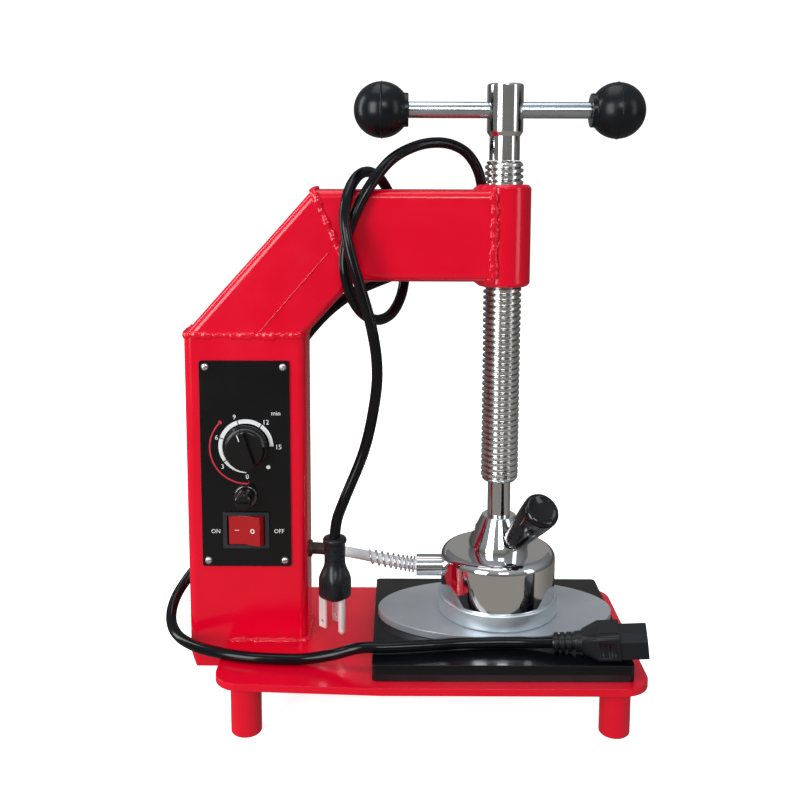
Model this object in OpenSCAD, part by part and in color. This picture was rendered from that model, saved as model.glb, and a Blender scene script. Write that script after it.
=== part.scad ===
// Tyre patch vulcanizer: a C-shaped press frame of welded box tube that
// presses an electric heating head onto a forming plate with a hand screw.
// Millimetres, Z up, front of the machine towards -Y, resting on Z = 0.

/* [Frame] */
// Width of the column tube, left to right
column_w = 82; // [76:1:90]
// Depth of the column, brace and arm tubes, front to back
tube_d = 40; // [36:1:46]
// Height of the arm tube and width of the slanting brace tube
tube_h = 61; // [54:1:66]
// Wall thickness of the frame tubes
tube_wall = 3; // [2:0.5:4]
// Outer corner radius of the frame tubes
tube_r = 6; // [4:0.5:8]
// Height of the arm's top face above the floor
arm_top = 351; // [330:1:375]
// Length of the column tube
column_h = 233; // [215:1:245]
// Clear distance from the column to the screw axis
throat = 133; // [120:1:150]
// Outer diameter of the screw boss
boss_d = 37; // [34:0.5:42]
// Height of the screw boss
boss_h = 68.5; // [64:0.5:76]

/* [Base] */
// Width of the base plate
plate_w = 280; // [250:1:310]
// Depth of the base plate
plate_d = 156; // [140:1:180]
// Thickness of the base plate
plate_t = 5; // [4:0.5:8]
// Corner radius of the base plate
plate_r = 18; // [8:1:20]
// How far the column stands out past the plate's left edge
plate_back = 26; // [10:1:36]
// How much the plate's front edge draws in towards its left end
plate_taper = 5; // [0:0.5:10]
// Height of the four feet
foot_h = 35; // [25:1:45]
// Diameter of the four feet
foot_d = 20; // [16:1:26]
// Foot centres, in from the plate's edges
foot_inset = 20; // [14:1:30]
// How far the column reaches below the base plate
column_drop = 14; // [6:1:24]

/* [Pressing stack] */
// Width of the black support block
pad_w = 168; // [150:1:190]
// Depth of the black support block
pad_d = 138; // [120:1:150]
// Thickness of the black support block
pad_t = 11; // [8:0.5:15]
// Support block's right edge, in from the plate's right edge
pad_margin = 10; // [5:1:20]
// Long diameter of the oval forming plate
former_w = 165; // [130:1:170]
// Short diameter of the oval forming plate
former_d = 96; // [86:1:120]
// Thickness of the oval forming plate
former_t = 5; // [3:0.5:8]

/* [Heating head] */
// Diameter of the heating plate
heat_d = 84; // [76:1:92]
// Thickness of the heating plate's rim
heat_h = 12; // [8:0.5:16]
// Diameter of the chrome shell
shell_d = 80; // [72:1:88]
// Height of the chrome shell
shell_h = 32; // [26:0.5:40]
// Radius of the chrome shell's shoulder
shell_r = 5.5; // [3:0.5:8]
// Sheet thickness of the chrome shell
shell_t = 1.5; // [1:0.25:2.5]
// Diameter of the swivel cone's foot
cone_d = 42; // [36:1:50]
// Diameter of the swivel cone's top
cone_top_d = 24; // [22:0.5:28]
// Height of the swivel cone
cone_h = 24.5; // [20:0.5:30]
// Length of the handle grip
grip_l = 48; // [40:1:70]
// Diameter of the handle grip's outer end
grip_d = 24.5; // [18:0.5:26]
// Handle's slope above the level
grip_rise = 44; // [30:1:60]
// Handle's bearing, from +X round towards +Y
grip_turn = -64; // [-100:1:-30]

/* [Screw and bar] */
// Outer diameter of the press screw
screw_d = 26; // [24:0.5:30]
// Lead of the press screw's thread
screw_pitch = 4; // [3:0.5:6]
// Length of the threaded stretch
thread_l = 220; // [200:1:250]
// Diameter of the plain shank below the thread
shank_d = 16; // [14:0.5:20]
// Length of the plain shank
shank_l = 43; // [36:1:60]
// Diameter of the neck above the thread
neck_d = 20.5; // [18:0.5:24]
// Length of the neck above the thread
neck_l = 16.5; // [10:0.5:24]
// Diameter of the bar hub
hub_d = 24.5; // [22:0.5:30]
// Height of the bar hub
hub_h = 34.5; // [28:0.5:40]
// Diameter of the turning bar
bar_d = 11; // [9:0.5:14]
// Left knob's centre, out from the screw axis
bar_left = 82.5; // [70:0.5:100]
// Right knob's centre, out from the screw axis
bar_right = 75; // [66:0.5:92]
// Diameter of the knobs
knob_d = 37.5; // [32:0.5:42]

/* [Control panel] */
// Width of the control panel
panel_w = 60.5; // [56:0.5:66]
// Height of the control panel
panel_h = 143; // [136:1:156]
// Thickness of the control panel
panel_t = 1.5; // [1:0.25:2.5]
// Height of the panel's centre above the floor
panel_z = 165.7; // [160:0.1:172]
// Diameter of the timer knob
dial_d = 30; // [26:0.5:34]
// Height of the timer knob in front of the panel
dial_h = 15; // [12:0.5:18]

/* [Leads] */
// Diameter of the power cord
cord_d = 7.4; // [6:0.1:8]
// Diameter of the head's lead
lead_d = 7.4; // [6:0.1:7.6]
// Wire diameter of the lead's guard spring
guard_wire = 1.2; // [1:0.1:1.4]
// Curls of the guard spring
guard_curls = 9; // [7:1:10]
// Length of the guard spring
guard_l = 32; // [28:1:38]

/* [Hidden] */
$fa = 3;
$fs = 0.4;
// Radial running fit between pieces that turn or slide in each other
run = 0.05;
// Radial clearance of seated pieces
seat = 0.1;
// Clearance left for welds and loose fits
gap = 0.3;

// Layout across the machine, centred on the frame without its cord
overall_w = column_w + throat + bar_right + knob_d/2;
column_l = -overall_w/2;
column_r = column_l + column_w;
column_x = column_l + column_w/2;
screw_x = column_r + throat;
// The frame's middle plane, behind the plate's middle
mid_y = 7.5;
front_y = mid_y - tube_d/2;
rear_y = mid_y + tube_d/2;
plate_l = column_l + plate_back;
plate_right = plate_l + plate_w;

// Heights of the pressing stack
plate_top = foot_h + plate_t;
pad_top = plate_top + pad_t;
former_top = pad_top + former_t;
heat_top = former_top + heat_h;
shell_top = heat_top + shell_h;
cone_wall = 5;
cone_top = shell_top + cone_h;
socket_z = shell_top + cone_wall;
washer_t = 2;
shank_z = socket_z + washer_t;
thread_z = shank_z + shank_l;
neck_z = thread_z + thread_l;
hub_z = neck_z + neck_l;
bar_z = hub_z + hub_h/2;

// Frame lines: the brace's slope makes its level cut as wide as the column
column_z = foot_h - column_drop;
column_top = column_z + column_h;
brace_a = asin(tube_h/column_w);
mitre = tan(brace_a/2);
outer_x = column_l + (arm_top - column_top)/tan(brace_a);
inner_x = outer_x + tube_h*mitre;
arm_end = screw_x - 6.5;

// Panel pieces, front to back
panel_y = front_y - panel_t;
timer_x = column_x + 0.5;
timer_z = panel_z + 12.9;
fuse_z = panel_z - 22;
rocker_z = panel_z - 45.5;
window_w = 47;
window_h = 122;
screw_in = 4.2;
m3 = 3;
timer_box = 40;
timer_box_d = 24;
bush_d = 10;
bush_l = 5;
shaft_d = 6;
dial_gap = 1;
fuse_d = 12;
fuse_bore = 10.3;
cell_d = 5.2;
cell_l = 20;
switch_w = 27.6;
switch_h = 22.4;
switch_in_w = 25.8;
switch_in_h = 20.6;
bezel_t = 2;
bezel_w = 31.5;
bezel_h = 25.2;
tip = 12;
pivot_y = panel_y + 1.2;
pin_d = 2.6;

// Power inlet on the column's rear face
inlet_z = 62;
flange_w = 50;
flange_h = 24;
flange_t = 3;
inlet_w = 28;
inlet_h = 20;
socket_w = 24.2;
socket_h = 16;
socket_d = 16;
pin_x = 7;
ear_x = 20;
ear_screw_l = 9;

// Head pieces
spigot_h = 2;
ring_r = 26;
tube_e = 3.5;
ring_z = heat_top + spigot_h + tube_e - 0.5;
disc_z = ring_z + tube_e + seat;
stud_d = 8;
m5 = 5;
m6 = 6;
bolt_r = 14;
groove_z = shank_z + 4;
groove_h = 6.2;
ferrule_d = 15;
ferrule_l = 17.5;
lead_z = heat_top + 19;
ferrule_x = screw_x - shell_d/2 - ferrule_l;
lead_rise = 12;
lead_exit = column_r - 12;
grommet_d = lead_d + 2.4;
grommet_z = lead_z + lead_rise;

// Handle axis: a line through the screw axis below the cone
grip_s = 28;
grip_z0 = shell_top - 7.8;

// Guard spring: mean radius grows towards the ferrule
guard_r0 = 5.3;
guard_r1 = 4.7;
guard_tight = 0.35;
rings = 8;
turns_n = guard_curls*rings;

// Plug and connector
plug_at = [-52.8, -20.5, 117.8];
plug_turn = 48;
conn_at = [92, -48.8, pad_top + 6];
conn_turn = -10;
conn_rise = 7;

// Power cord route, from the plug to the connector
cord_route = [
  plug_at, [-51, -21, 130.5], [-45.6, -22, 145.5], [-32.5, -22.4, 179.2],
  [-25.4, -25.1, 213.6], [-24.2, -26.4, 237.9], [-28, -29.6, 263.8],
  [-35.3, -31.9, 290.4], [-42.4, -30.9, 315.9], [-45.1, -26, 334.5],
  [-42.8, -16.5, 349.9], [-37.2, -2.8, 360.1], [-30, 12.2, 362.5],
  [-22.4, 25.6, 356.9], [-15.4, 35.1, 343.7], [-9.1, 39.1, 323.8],
  [-5.7, 36.4, 300.3], [-7.7, 27.3, 279], [-14.7, 13.9, 266],
  [-24.4, -1.1, 263.2], [-34.3, -13.7, 269.7], [-42.1, -21.4, 284.2],
  [-45.6, -22.8, 302.8], [-43.5, -20.7, 321.5], [-36.8, -18.2, 339.4],
  [-27.5, -14, 355.8], [-15.7, -5.5, 370.2], [-2.1, 7, 378.6],
  [12, 18.5, 382.4], [26, 26.8, 381.5], [38.1, 32, 374.6], [46.3, 35.8, 360.4],
  [48.2, 38.4, 341.8], [42.6, 40.1, 324.7], [29.4, 41.6, 309.6],
  [9, 43.2, 297.7], [-15.9, 42.1, 288.3], [-42.7, 37.1, 276.8],
  [-65.3, 32.3, 258.8], [-85.9, 31.8, 231.4], [-102.2, 32, 194.4],
  [-115.8, 31.9, 151.8], [-130.1, 34, 113.9], [-148, 34.3, 86.3],
  [-162.5, 28.1, 69.4], [-170.2, 15.8, 57.4], [-169.8, 0.3, 49],
  [-161.6, -16, 45], [-147, -29.3, 43.8], [-129.4, -38.6, 43.9], [-110, -44.8, 44],
  [-90, -47.2, 44], [-71.6, -48, 44.4], [-52.8, -50, 48.4], [-34.5, -53.2, 54.7],
  [-15, -53.4, 55.5], [10, -50.4, 55.4], [30, -47.6, 55.4], [50, -46, 55.4], [68, -45.6, 55.4],
  [82, -47, 55.8], conn_at
];

// Rectangle with round corners, centred
module round_rect(w, h, r) {
  square([w - 2*r, h], center = true);
  square([w, h - 2*r], center = true);
  for (x = [-1, 1], y = [-1, 1])
    translate([x*(w/2 - r), y*(h/2 - r)]) circle(r);
}

// Section of a frame tube, w across and h along its second axis
module tube_section(w, h) {
  difference() {
    round_rect(w, h, tube_r);
    round_rect(w - 2*tube_wall, h - 2*tube_wall, tube_r - tube_wall);
  }
}

// Frame tube lying along +X with its underside on Z = 0
module level_tube(l) {
  translate([0, 0, tube_h/2]) rotate([90, 0, 90])
    linear_extrude(l) tube_section(tube_d, tube_h);
}

// Block with the given outline in the XZ plane, deeper than the tubes
module side_block(points) {
  translate([0, mid_y + tube_d, 0]) rotate([90, 0, 0])
    linear_extrude(2*tube_d) polygon(points);
}

// Cylinder along Y between two Y positions
module y_rod(x, z, d, y0, y1) {
  translate([x, y0, z]) rotate([-90, 0, 0]) cylinder(d = d, h = y1 - y0);
}

// Box between two corners
module span(a, b) {
  translate(a) cube(b - a);
}

// Places children on the handle's axis, a distance s from the screw axis
module on_handle(s) {
  translate([screw_x, mid_y, grip_z0]) rotate([0, 90 - grip_rise, grip_turn])
    translate([0, 0, s]) children();
}

// Smooth curve through route points: two rings to each stretch
function spline(p, i, t) =
  let (a = p[max(i - 1, 0)], b = p[i], c = p[i + 1], d = p[min(i + 2, len(p) - 1)])
  b + t/2*(c - a) + t*t*(a - 2.5*b + 2*c - 0.5*d) + t*t*t*(-0.5*a + 1.5*b - 1.5*c + 0.5*d);
function unit(v) = v/norm(v);
function carried(v, t) = unit(v - (v*t)*t);
function headings(p) = [for (i = [0:len(p) - 1])
  unit(p[min(i + 1, len(p) - 1)] - p[max(i - 1, 0)])];
// Each ring's side direction, carried on from the ring before it
function sides(t) = [for (i = 0, s = carried([0.3, 1, 0.2], t[0]); i < len(t);
  i = i + 1, s = carried(s, t[min(i, len(t) - 1)])) s];

// Round tube of n sides swept along points, with given end headings
module swept(p, r, n, first, last) {
  inner = headings(p);
  t = [for (i = [0:len(p) - 1]) i == 0 ? first : i == len(p) - 1 ? last : inner[i]];
  s = sides(t);
  pts = [for (i = [0:len(p) - 1], k = [0:n - 1])
    p[i] + r*(cos(360*k/n)*s[i] + sin(360*k/n)*cross(t[i], s[i]))];
  m = len(p);
  faces = concat([[for (k = [0:n - 1]) k]], [[for (k = [n - 1:-1:0]) (m - 1)*n + k]],
    [for (i = [0:m - 2], k = [0:n - 1])
      [i*n + k, (i + 1)*n + k, (i + 1)*n + (k + 1) % n, i*n + (k + 1) % n]]);
  polyhedron(pts, faces, convexity = 10);
}

// Base: a steel plate with round corners, notched for the column
module base_plate() {
  y0 = -plate_d/2;
  kink = plate_l + 107;
  color("crimson") difference() {
    translate([0, 0, foot_h]) linear_extrude(plate_t) {
      polygon([[plate_l, y0 + plate_taper + plate_r], [plate_l + plate_r, y0 + plate_taper],
        [kink, y0], [plate_right - plate_r, y0], [plate_right, y0 + plate_r],
        [plate_right, -y0 - plate_r], [plate_right - plate_r, -y0],
        [plate_l + plate_r, -y0], [plate_l, -y0 - plate_r]]);
      for (c = [[plate_l + plate_r, y0 + plate_taper + plate_r],
                [plate_right - plate_r, y0 + plate_r],
                [plate_right - plate_r, -y0 - plate_r],
                [plate_l + plate_r, -y0 - plate_r]])
        translate(c) circle(plate_r);
    }
    span([column_l - 5, front_y - seat, foot_h - 1],
         [column_r + seat, rear_y + seat, plate_top + 1]);
    for (p = block_bolts)
      translate([p[0], p[1], foot_h - 1]) cylinder(d = m5 + 2*gap, h = plate_t + 2);
  }
}

// Feet: four round bars welded under the plate
module base_feet() {
  color("crimson")
    for (x = [plate_l + foot_inset, plate_right - foot_inset], y = [-1, 1])
      translate([x, y*(plate_d/2 - foot_inset), 0]) rotate_extrude()
        polygon([[0, 0], [foot_d/2 - 1, 0], [foot_d/2, 1], [foot_d/2, foot_h], [0, foot_h]]);
}

// Column: box tube with the panel window, the inlet opening and the lead hole
module column_tube() {
  color("red") difference() {
    translate([column_x, mid_y, column_z]) linear_extrude(column_h)
      tube_section(column_w, tube_d);
    span([column_x - window_w/2, front_y - 1, panel_z - window_h/2],
         [column_x + window_w/2, front_y + tube_wall + 1, panel_z + window_h/2]);
    for (x = [-1, 1], z = [-1, 1])
      y_rod(column_x + x*(panel_w/2 - screw_in), panel_z + z*(panel_h/2 - screw_in),
        m3 + 2*seat, front_y - 1, front_y + tube_wall + 1);
    span([column_x - inlet_w/2 - gap, rear_y - tube_wall - 1, inlet_z - inlet_h/2 - gap],
         [column_x + inlet_w/2 + gap, rear_y + 1, inlet_z + inlet_h/2 + gap]);
    for (x = [-1, 1])
      y_rod(column_x + x*ear_x, inlet_z, m3 + 2*seat, rear_y - tube_wall - 1, rear_y + 1);
    translate([column_r - tube_wall - 1, mid_y, grommet_z]) rotate([0, 90, 0])
      cylinder(d = grommet_d + 2*seat, h = tube_wall + 2);
    side_block([[column_l - 1, column_z - 1], [column_l + 5, column_z - 1],
      [column_l, column_z + 11], [column_l - 1, column_z + 11]]);
  }
}

// Brace: slanting box tube, cut level on the column and mitred to the arm
module brace_tube() {
  l = (arm_top - column_top)/sin(brace_a);
  color("red") intersection() {
    translate([column_l, mid_y, column_top]) rotate([0, -brace_a, 0])
      translate([-tube_h, 0, -tube_h]) level_tube(l + 3*tube_h);
    side_block([[column_l - 20, column_top], [column_r + 20, column_top],
      [inner_x + 20*mitre, arm_top - tube_h - 20], [outer_x - 20*mitre, arm_top + 20]]);
  }
}

// Arm: level box tube, mitred to the brace and coped round the boss
module arm_tube() {
  color("red") difference() {
    translate([outer_x - 1, mid_y, arm_top - tube_h]) level_tube(arm_end - outer_x + 1);
    side_block([[outer_x - 20*mitre, arm_top + 20],
      [inner_x + 20*mitre, arm_top - tube_h - 20],
      [outer_x - 60, arm_top - tube_h - 20], [outer_x - 60, arm_top + 20]]);
    translate([screw_x, mid_y, arm_top - tube_h - 1])
      cylinder(d = boss_d + 2*seat, h = tube_h + 2);
  }
}

// Boss: turned nut body at the end of the arm, bored for the press screw
module screw_boss() {
  z0 = arm_top + 3.5 - boss_h;
  r = boss_d/2;
  b = screw_d/2 + run;
  color("red") translate([screw_x, mid_y, z0]) rotate_extrude()
    polygon([[b + 1, 0], [r - 2, 0], [r, 2], [r, boss_h - 2], [r - 2, boss_h],
      [b + 1, boss_h], [b, boss_h - 1], [b, 1]]);
}

// Support block under the forming plate
block_l = plate_right - pad_margin - pad_w;
bolt_head = 9;
bolt_bite = 7.5;
bolt_in = 16;
// Bolt heads stay clear of the feet by this much
bolt_clear = 4;
bolt_y = plate_d/2 - foot_inset - foot_d/2 - bolt_head/2 - bolt_clear;
block_bolts = [for (x = [block_l + bolt_in, block_l + pad_w - bolt_in], y = [-1, 1])
  [x, y*bolt_y]];
module support_block() {
  color("#15171b") difference() {
    translate([block_l + pad_w/2, 0, plate_top]) linear_extrude(pad_t)
      round_rect(pad_w, pad_d, 3);
    for (p = block_bolts)
      translate([p[0], p[1], plate_top - 1]) cylinder(d = m5 + 2*seat, h = bolt_bite + 1.5);
  }
}

// Screws that hold the support block, from under the plate
module block_screws() {
  color("silver") for (p = block_bolts) translate([p[0], p[1], foot_h]) {
    translate([0, 0, -3]) cylinder(d = bolt_head, h = 3);
    cylinder(d = m5, h = plate_t + bolt_bite);
  }
}

// Oval forming plate that lies on the support block
module forming_plate() {
  n = 120;
  color("lightgray") translate([screw_x - 2, mid_y, pad_top]) linear_extrude(former_t)
    polygon([for (i = [0:n - 1])
      [former_w/2*cos(360*i/n), former_d/2*sin(360*i/n)]]);
}

// Control panel: thin black plate over the column's window
module control_panel() {
  color("#101114") difference() {
    translate([column_x, front_y, panel_z]) rotate([90, 0, 0])
      linear_extrude(panel_t) round_rect(panel_w, panel_h, 1.5);
    y_rod(timer_x, timer_z, bush_d + 2*seat, panel_y - 1, front_y + 1);
    y_rod(column_x, fuse_z, fuse_d + 2*seat, panel_y - 1, front_y + 1);
    span([column_x - switch_w/2 - gap, panel_y - 1, rocker_z - switch_h/2 - gap],
         [column_x + switch_w/2 + gap, front_y + 1, rocker_z + switch_h/2 + gap]);
    for (x = [-1, 1], z = [-1, 1])
      y_rod(column_x + x*(panel_w/2 - screw_in), panel_z + z*(panel_h/2 - screw_in),
        m3 + 2*seat, panel_y - 1, front_y + 1);
  }
}

// Four pan-head screws of the panel
module panel_screws() {
  color("silver") for (x = [-1, 1], z = [-1, 1])
    translate([column_x + x*(panel_w/2 - screw_in), panel_y,
               panel_z + z*(panel_h/2 - screw_in)]) rotate([90, 0, 0]) rotate_extrude()
      polygon([[0, -8], [m3/2, -8], [m3/2, 0], [2.6, 0], [2.6, 0.7], [2.1, 1.5],
        [1.2, 1.9], [0, 2]]);
}

// Timer: clockwork box behind the panel with a bush through it
module timer_body() {
  color("dimgray") difference() {
    union() {
      span([timer_x - timer_box/2, front_y, timer_z - timer_box/2],
           [timer_x + timer_box/2, front_y + timer_box_d, timer_z + timer_box/2]);
      y_rod(timer_x, timer_z, bush_d, panel_y - bush_l, front_y + 1);
    }
    y_rod(timer_x, timer_z, shaft_d + 2*run, panel_y - bush_l - 1, front_y + 10);
  }
}

// Timer shaft that carries the knob
module timer_shaft() {
  color("silver")
    y_rod(timer_x, timer_z, shaft_d, panel_y - dial_h + 3, front_y + 9.5);
}

// Timer knob: round skirt, tapered drum and a finger bar across its face
module timer_knob() {
  y0 = panel_y - dial_gap;
  h = dial_h - dial_gap;
  color("#16161a") translate([timer_x, y0, timer_z]) rotate([90, 0, 0]) difference() {
    union() {
      rotate_extrude() polygon([[0, 0], [dial_d/2, 0], [dial_d/2, 2.5],
        [dial_d/2 - 1.2, 3.2], [dial_d/2 - 2.2, h - 5], [dial_d/2 - 3.2, h - 4.4], [0, h - 4.4]]);
      rotate(18) intersection() {
        translate([-4, -dial_d, 0]) cube([8, 2*dial_d, h]);
        cylinder(d = dial_d - 5, h = h);
      }
    }
    translate([0, 0, -1]) cylinder(d = bush_d + 4, h = bush_l + 1.5);
    cylinder(d = shaft_d + 2*run, h = h - 2);
  }
}

// Rocker switch housing with its bezel in front of the panel
module rocker_housing() {
  color("#0c0d10") difference() {
    union() {
      translate([column_x, panel_y, rocker_z]) rotate([90, 0, 0])
        linear_extrude(bezel_t) round_rect(bezel_w, bezel_h, 1);
      span([column_x - switch_w/2, panel_y - 0.5, rocker_z - switch_h/2],
           [column_x + switch_w/2, front_y + 19, rocker_z + switch_h/2]);
    }
    span([column_x - switch_in_w/2, panel_y - bezel_t - 1, rocker_z - switch_in_h/2],
         [column_x + switch_in_w/2, pivot_y + 5.3, rocker_z + switch_in_h/2]);
    translate([column_x, pivot_y, rocker_z - 11]) cylinder(d = pin_d + 2*run, h = 22);
  }
}

// Rocker paddle, tipped to its pressed left side
module rocker_paddle() {
  color("red") translate([column_x, pivot_y, rocker_z]) rotate([0, 0, -tip]) {
    translate([0, 0, -10]) linear_extrude(20)
      polygon([[-12.4, 1], [-11, -5], [0, -2.6], [11, -5], [12.4, 1], [8, 3], [-8, 3]]);
    translate([0, 0, -10.8]) cylinder(d = pin_d, h = 21.6);
  }
}

// Fuse holder: flange in front of the panel, barrel behind it
module fuse_holder() {
  color("#1a1a1d") difference() {
    union() {
      y_rod(column_x, fuse_z, 16, panel_y - 2, panel_y);
      y_rod(column_x, fuse_z, fuse_d, panel_y - 0.5, front_y + 29);
    }
    y_rod(column_x, fuse_z, fuse_bore, panel_y - 3, front_y + 21);
  }
}

// Fuse cap: bayonet cap with a driver slot, stem in the holder
module fuse_cap() {
  y0 = panel_y - 2.4;
  color("#141416") difference() {
    union() {
      translate([column_x, y0, fuse_z]) rotate([90, 0, 0]) rotate_extrude()
        polygon([[0, 0], [5.8, 0], [5.5, 10.5], [4.5, 11.5], [0, 11.5]]);
      y_rod(column_x, fuse_z, fuse_bore - 2*run, y0 - 0.5, y0 + 8);
    }
    y_rod(column_x, fuse_z, cell_d + 2*seat, y0 + 4, y0 + 9);
    span([column_x - 7, y0 - 12, fuse_z - 0.7], [column_x + 7, y0 - 9.5, fuse_z + 0.7]);
  }
}

// Fuse cartridge inside the holder
module fuse_cartridge() {
  color("ivory") y_rod(column_x, fuse_z, cell_d, panel_y + 1.7, panel_y + 1.7 + cell_l);
}

// Power inlet on the rear face: flange, body and socket hollow
module power_inlet() {
  color("#131316") translate([column_x, rear_y, inlet_z]) rotate([-90, 0, 0])
    difference() {
      union() {
        linear_extrude(flange_t) round_rect(flange_w, flange_h, 4);
        translate([-inlet_w/2, -inlet_h/2, -19]) cube([inlet_w, inlet_h, 20]);
      }
      translate([-socket_w/2, -socket_h/2, flange_t - socket_d])
        cube([socket_w, socket_h, socket_d + 1]);
      for (x = [-1, 1]) translate([x*ear_x, 0, -1]) cylinder(d = m3 + 2*seat, h = 5);
      for (p = [[-pin_x, 2], [pin_x, 2], [0, -2]])
        translate([p[0], p[1], -10]) cube([2.2, 4.2, 30], center = true);
    }
}

// Three blades of the power inlet
module inlet_pins() {
  color("silver") translate([column_x, rear_y, inlet_z]) rotate([-90, 0, 0])
    for (p = [[-pin_x, 2], [pin_x, 2], [0, -2]])
      translate([p[0] - 1, p[1] - 2, -25]) cube([2, 4, 25]);
}

// Two screws of the power inlet
module inlet_screws() {
  color("silver") for (x = [-1, 1])
    translate([column_x + x*ear_x, rear_y + flange_t, inlet_z]) rotate([-90, 0, 0]) rotate_extrude()
      polygon([[0, -ear_screw_l], [m3/2, -ear_screw_l], [m3/2, 0], [2.6, 0], [2.6, 0.7],
        [2.1, 1.5], [0, 1.9]]);
}

// Terminal block on the column's inner rear face
module terminal_block() {
  color("ivory") difference() {
    span([column_x - 15, rear_y - tube_wall - 11, 214],
         [column_x + 15, rear_y - tube_wall, 226]);
    for (x = [-10, 0, 10])
      translate([column_x + x, rear_y - tube_wall - 6, 213]) cylinder(d = 4, h = 14);
  }
}

// Rubber grommet where the head's lead leaves the column
module lead_grommet() {
  b = lead_d/2 + gap;
  g = grommet_d/2;
  f = g + 1.2;
  color("#202022") translate([column_r, mid_y, grommet_z]) rotate([0, 90, 0]) rotate_extrude()
    polygon([[b, -5], [f, -5], [f, -tube_wall - seat], [g, -tube_wall - seat],
      [g, seat], [f, seat], [f - 0.4, 2], [b, 2]]);
}

// Heating plate: cast disc with a spigot for the shell and a ring groove
module heating_plate() {
  r = heat_d/2;
  s = shell_d/2 - shell_t - seat;
  color("lightgray") translate([screw_x, mid_y, 0]) difference() {
    rotate_extrude() polygon([[0, former_top], [r - 0.8, former_top], [r, former_top + 0.8],
      [r, heat_top - 0.8], [r - 0.8, heat_top], [s, heat_top], [s, heat_top + spigot_h],
      [0, heat_top + spigot_h]]);
    translate([0, 0, ring_z]) rotate_extrude() translate([ring_r, 0]) circle(tube_e + seat);
  }
}

// Tubular heating ring in the plate's groove
module heating_ring() {
  color("gray") translate([screw_x, mid_y, ring_z]) rotate_extrude()
    translate([ring_r, 0]) circle(tube_e);
}

// Disc thermostat at the middle of the heating plate
module thermostat() {
  color("silver") translate([screw_x, mid_y, heat_top + spigot_h]) {
    cylinder(d = 16, h = 4);
    cylinder(d = 10, h = 6);
  }
}

// Insulation disc over the heating ring
module insulation_disc() {
  color("wheat") translate([screw_x, mid_y, disc_z])
    cylinder(d = shell_d - 2*shell_t - 1, h = 3);
}

// Chrome shell: deep-drawn cup over the heating plate
module heater_shell() {
  r = shell_d/2;
  i = r - shell_t;
  k = shell_r - shell_t;
  h = shell_h;
  color("silver") translate([screw_x, mid_y, heat_top]) difference() {
    rotate_extrude() difference() {
      union() {
        square([r - shell_r, h]);
        square([r, h - shell_r]);
        translate([r - shell_r, h - shell_r]) intersection() {
          circle(shell_r);
          square(shell_r);
        }
      }
      translate([-1, -1]) square([1 + i - k, h - shell_t + 1]);
      translate([-1, -1]) square([1 + i, h - shell_r + 1]);
      translate([i - k, h - shell_r]) intersection() {
        circle(k);
        square(k);
      }
    }
    for (a = bolt_turns) rotate(a) translate([bolt_r, 0, h - shell_t - 1])
      cylinder(d = m5 + 2*seat, h = shell_t + 2);
    translate([0, 0, lead_z - heat_top]) rotate([0, -90, 0])
      cylinder(d = 12.2, h = r + 5);
  }
}

// Screws that hold the cone on the shell, from inside
bolt_turns = [grip_turn + 60, grip_turn + 180, grip_turn + 300];
module cone_screws() {
  color("silver") for (a = bolt_turns)
    translate([screw_x, mid_y, shell_top]) rotate(a) translate([bolt_r, 0, 0]) {
      translate([0, 0, -shell_t - 3]) cylinder(d = 8.5, h = 3);
      translate([0, 0, -shell_t]) cylinder(d = m5, h = shell_t + 4);
    }
}

// Swivel cone: turned collar that takes the end of the press screw
module swivel_cone() {
  b = shank_d/2 + run;
  color("silver") difference() {
    translate([screw_x, mid_y, shell_top]) rotate_extrude()
      polygon([[0, 0], [cone_d/2, 0], [cone_d/2, cone_wall], [cone_top_d/2, cone_h - 0.6],
        [cone_top_d/2 - 0.6, cone_h], [b, cone_h], [b, cone_wall], [0, cone_wall]]);
    for (a = bolt_turns) translate([screw_x, mid_y, shell_top - 1]) rotate(a)
      translate([bolt_r, 0, 0]) cylinder(d = m5 + 2*seat, h = 5.2);
    for (a = [120, 240]) translate([screw_x, mid_y, groove_z + groove_h/2])
      rotate([0, 90, grip_turn + a]) cylinder(d = m6 + 2*seat, h = cone_d);
    on_handle(16.9) cylinder(d = stud_d + 2*seat, h = 30);
  }
}

// Bronze thrust washer between the screw's end and the cone
module thrust_washer() {
  color("goldenrod") translate([screw_x, mid_y, socket_z])
    cylinder(d = shank_d - 0.6, h = washer_t);
}

// Two set screws that hold the shank's groove in the cone
module retaining_screws() {
  color("dimgray") for (a = [120, 240])
    translate([screw_x, mid_y, groove_z + groove_h/2]) rotate([0, 90, grip_turn + a])
      translate([0, 0, 7]) cylinder(d = m6, h = 9.2);
}

// Handle stud between the cone and the grip
module handle_stud() {
  color("silver") on_handle(17) cylinder(d = stud_d, h = grip_s - 17 + 22);
}

// Handle grip: tapered black handle with a round end
module handle_grip() {
  r = grip_d/2;
  color("#111215") on_handle(grip_s) difference() {
    rotate_extrude() polygon([[0, 0], [6.2, 0], [7.5, 1.2], [9.6, grip_l*0.4],
      [r - 0.3, grip_l - 6], [r, grip_l - 3.5], [r - 0.7, grip_l - 1.5], [r - 2.4, grip_l - 0.2],
      [r - 4, grip_l], [0, grip_l]]);
    translate([0, 0, -1]) cylinder(d = stud_d + 2*seat, h = 23.5);
  }
}

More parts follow.
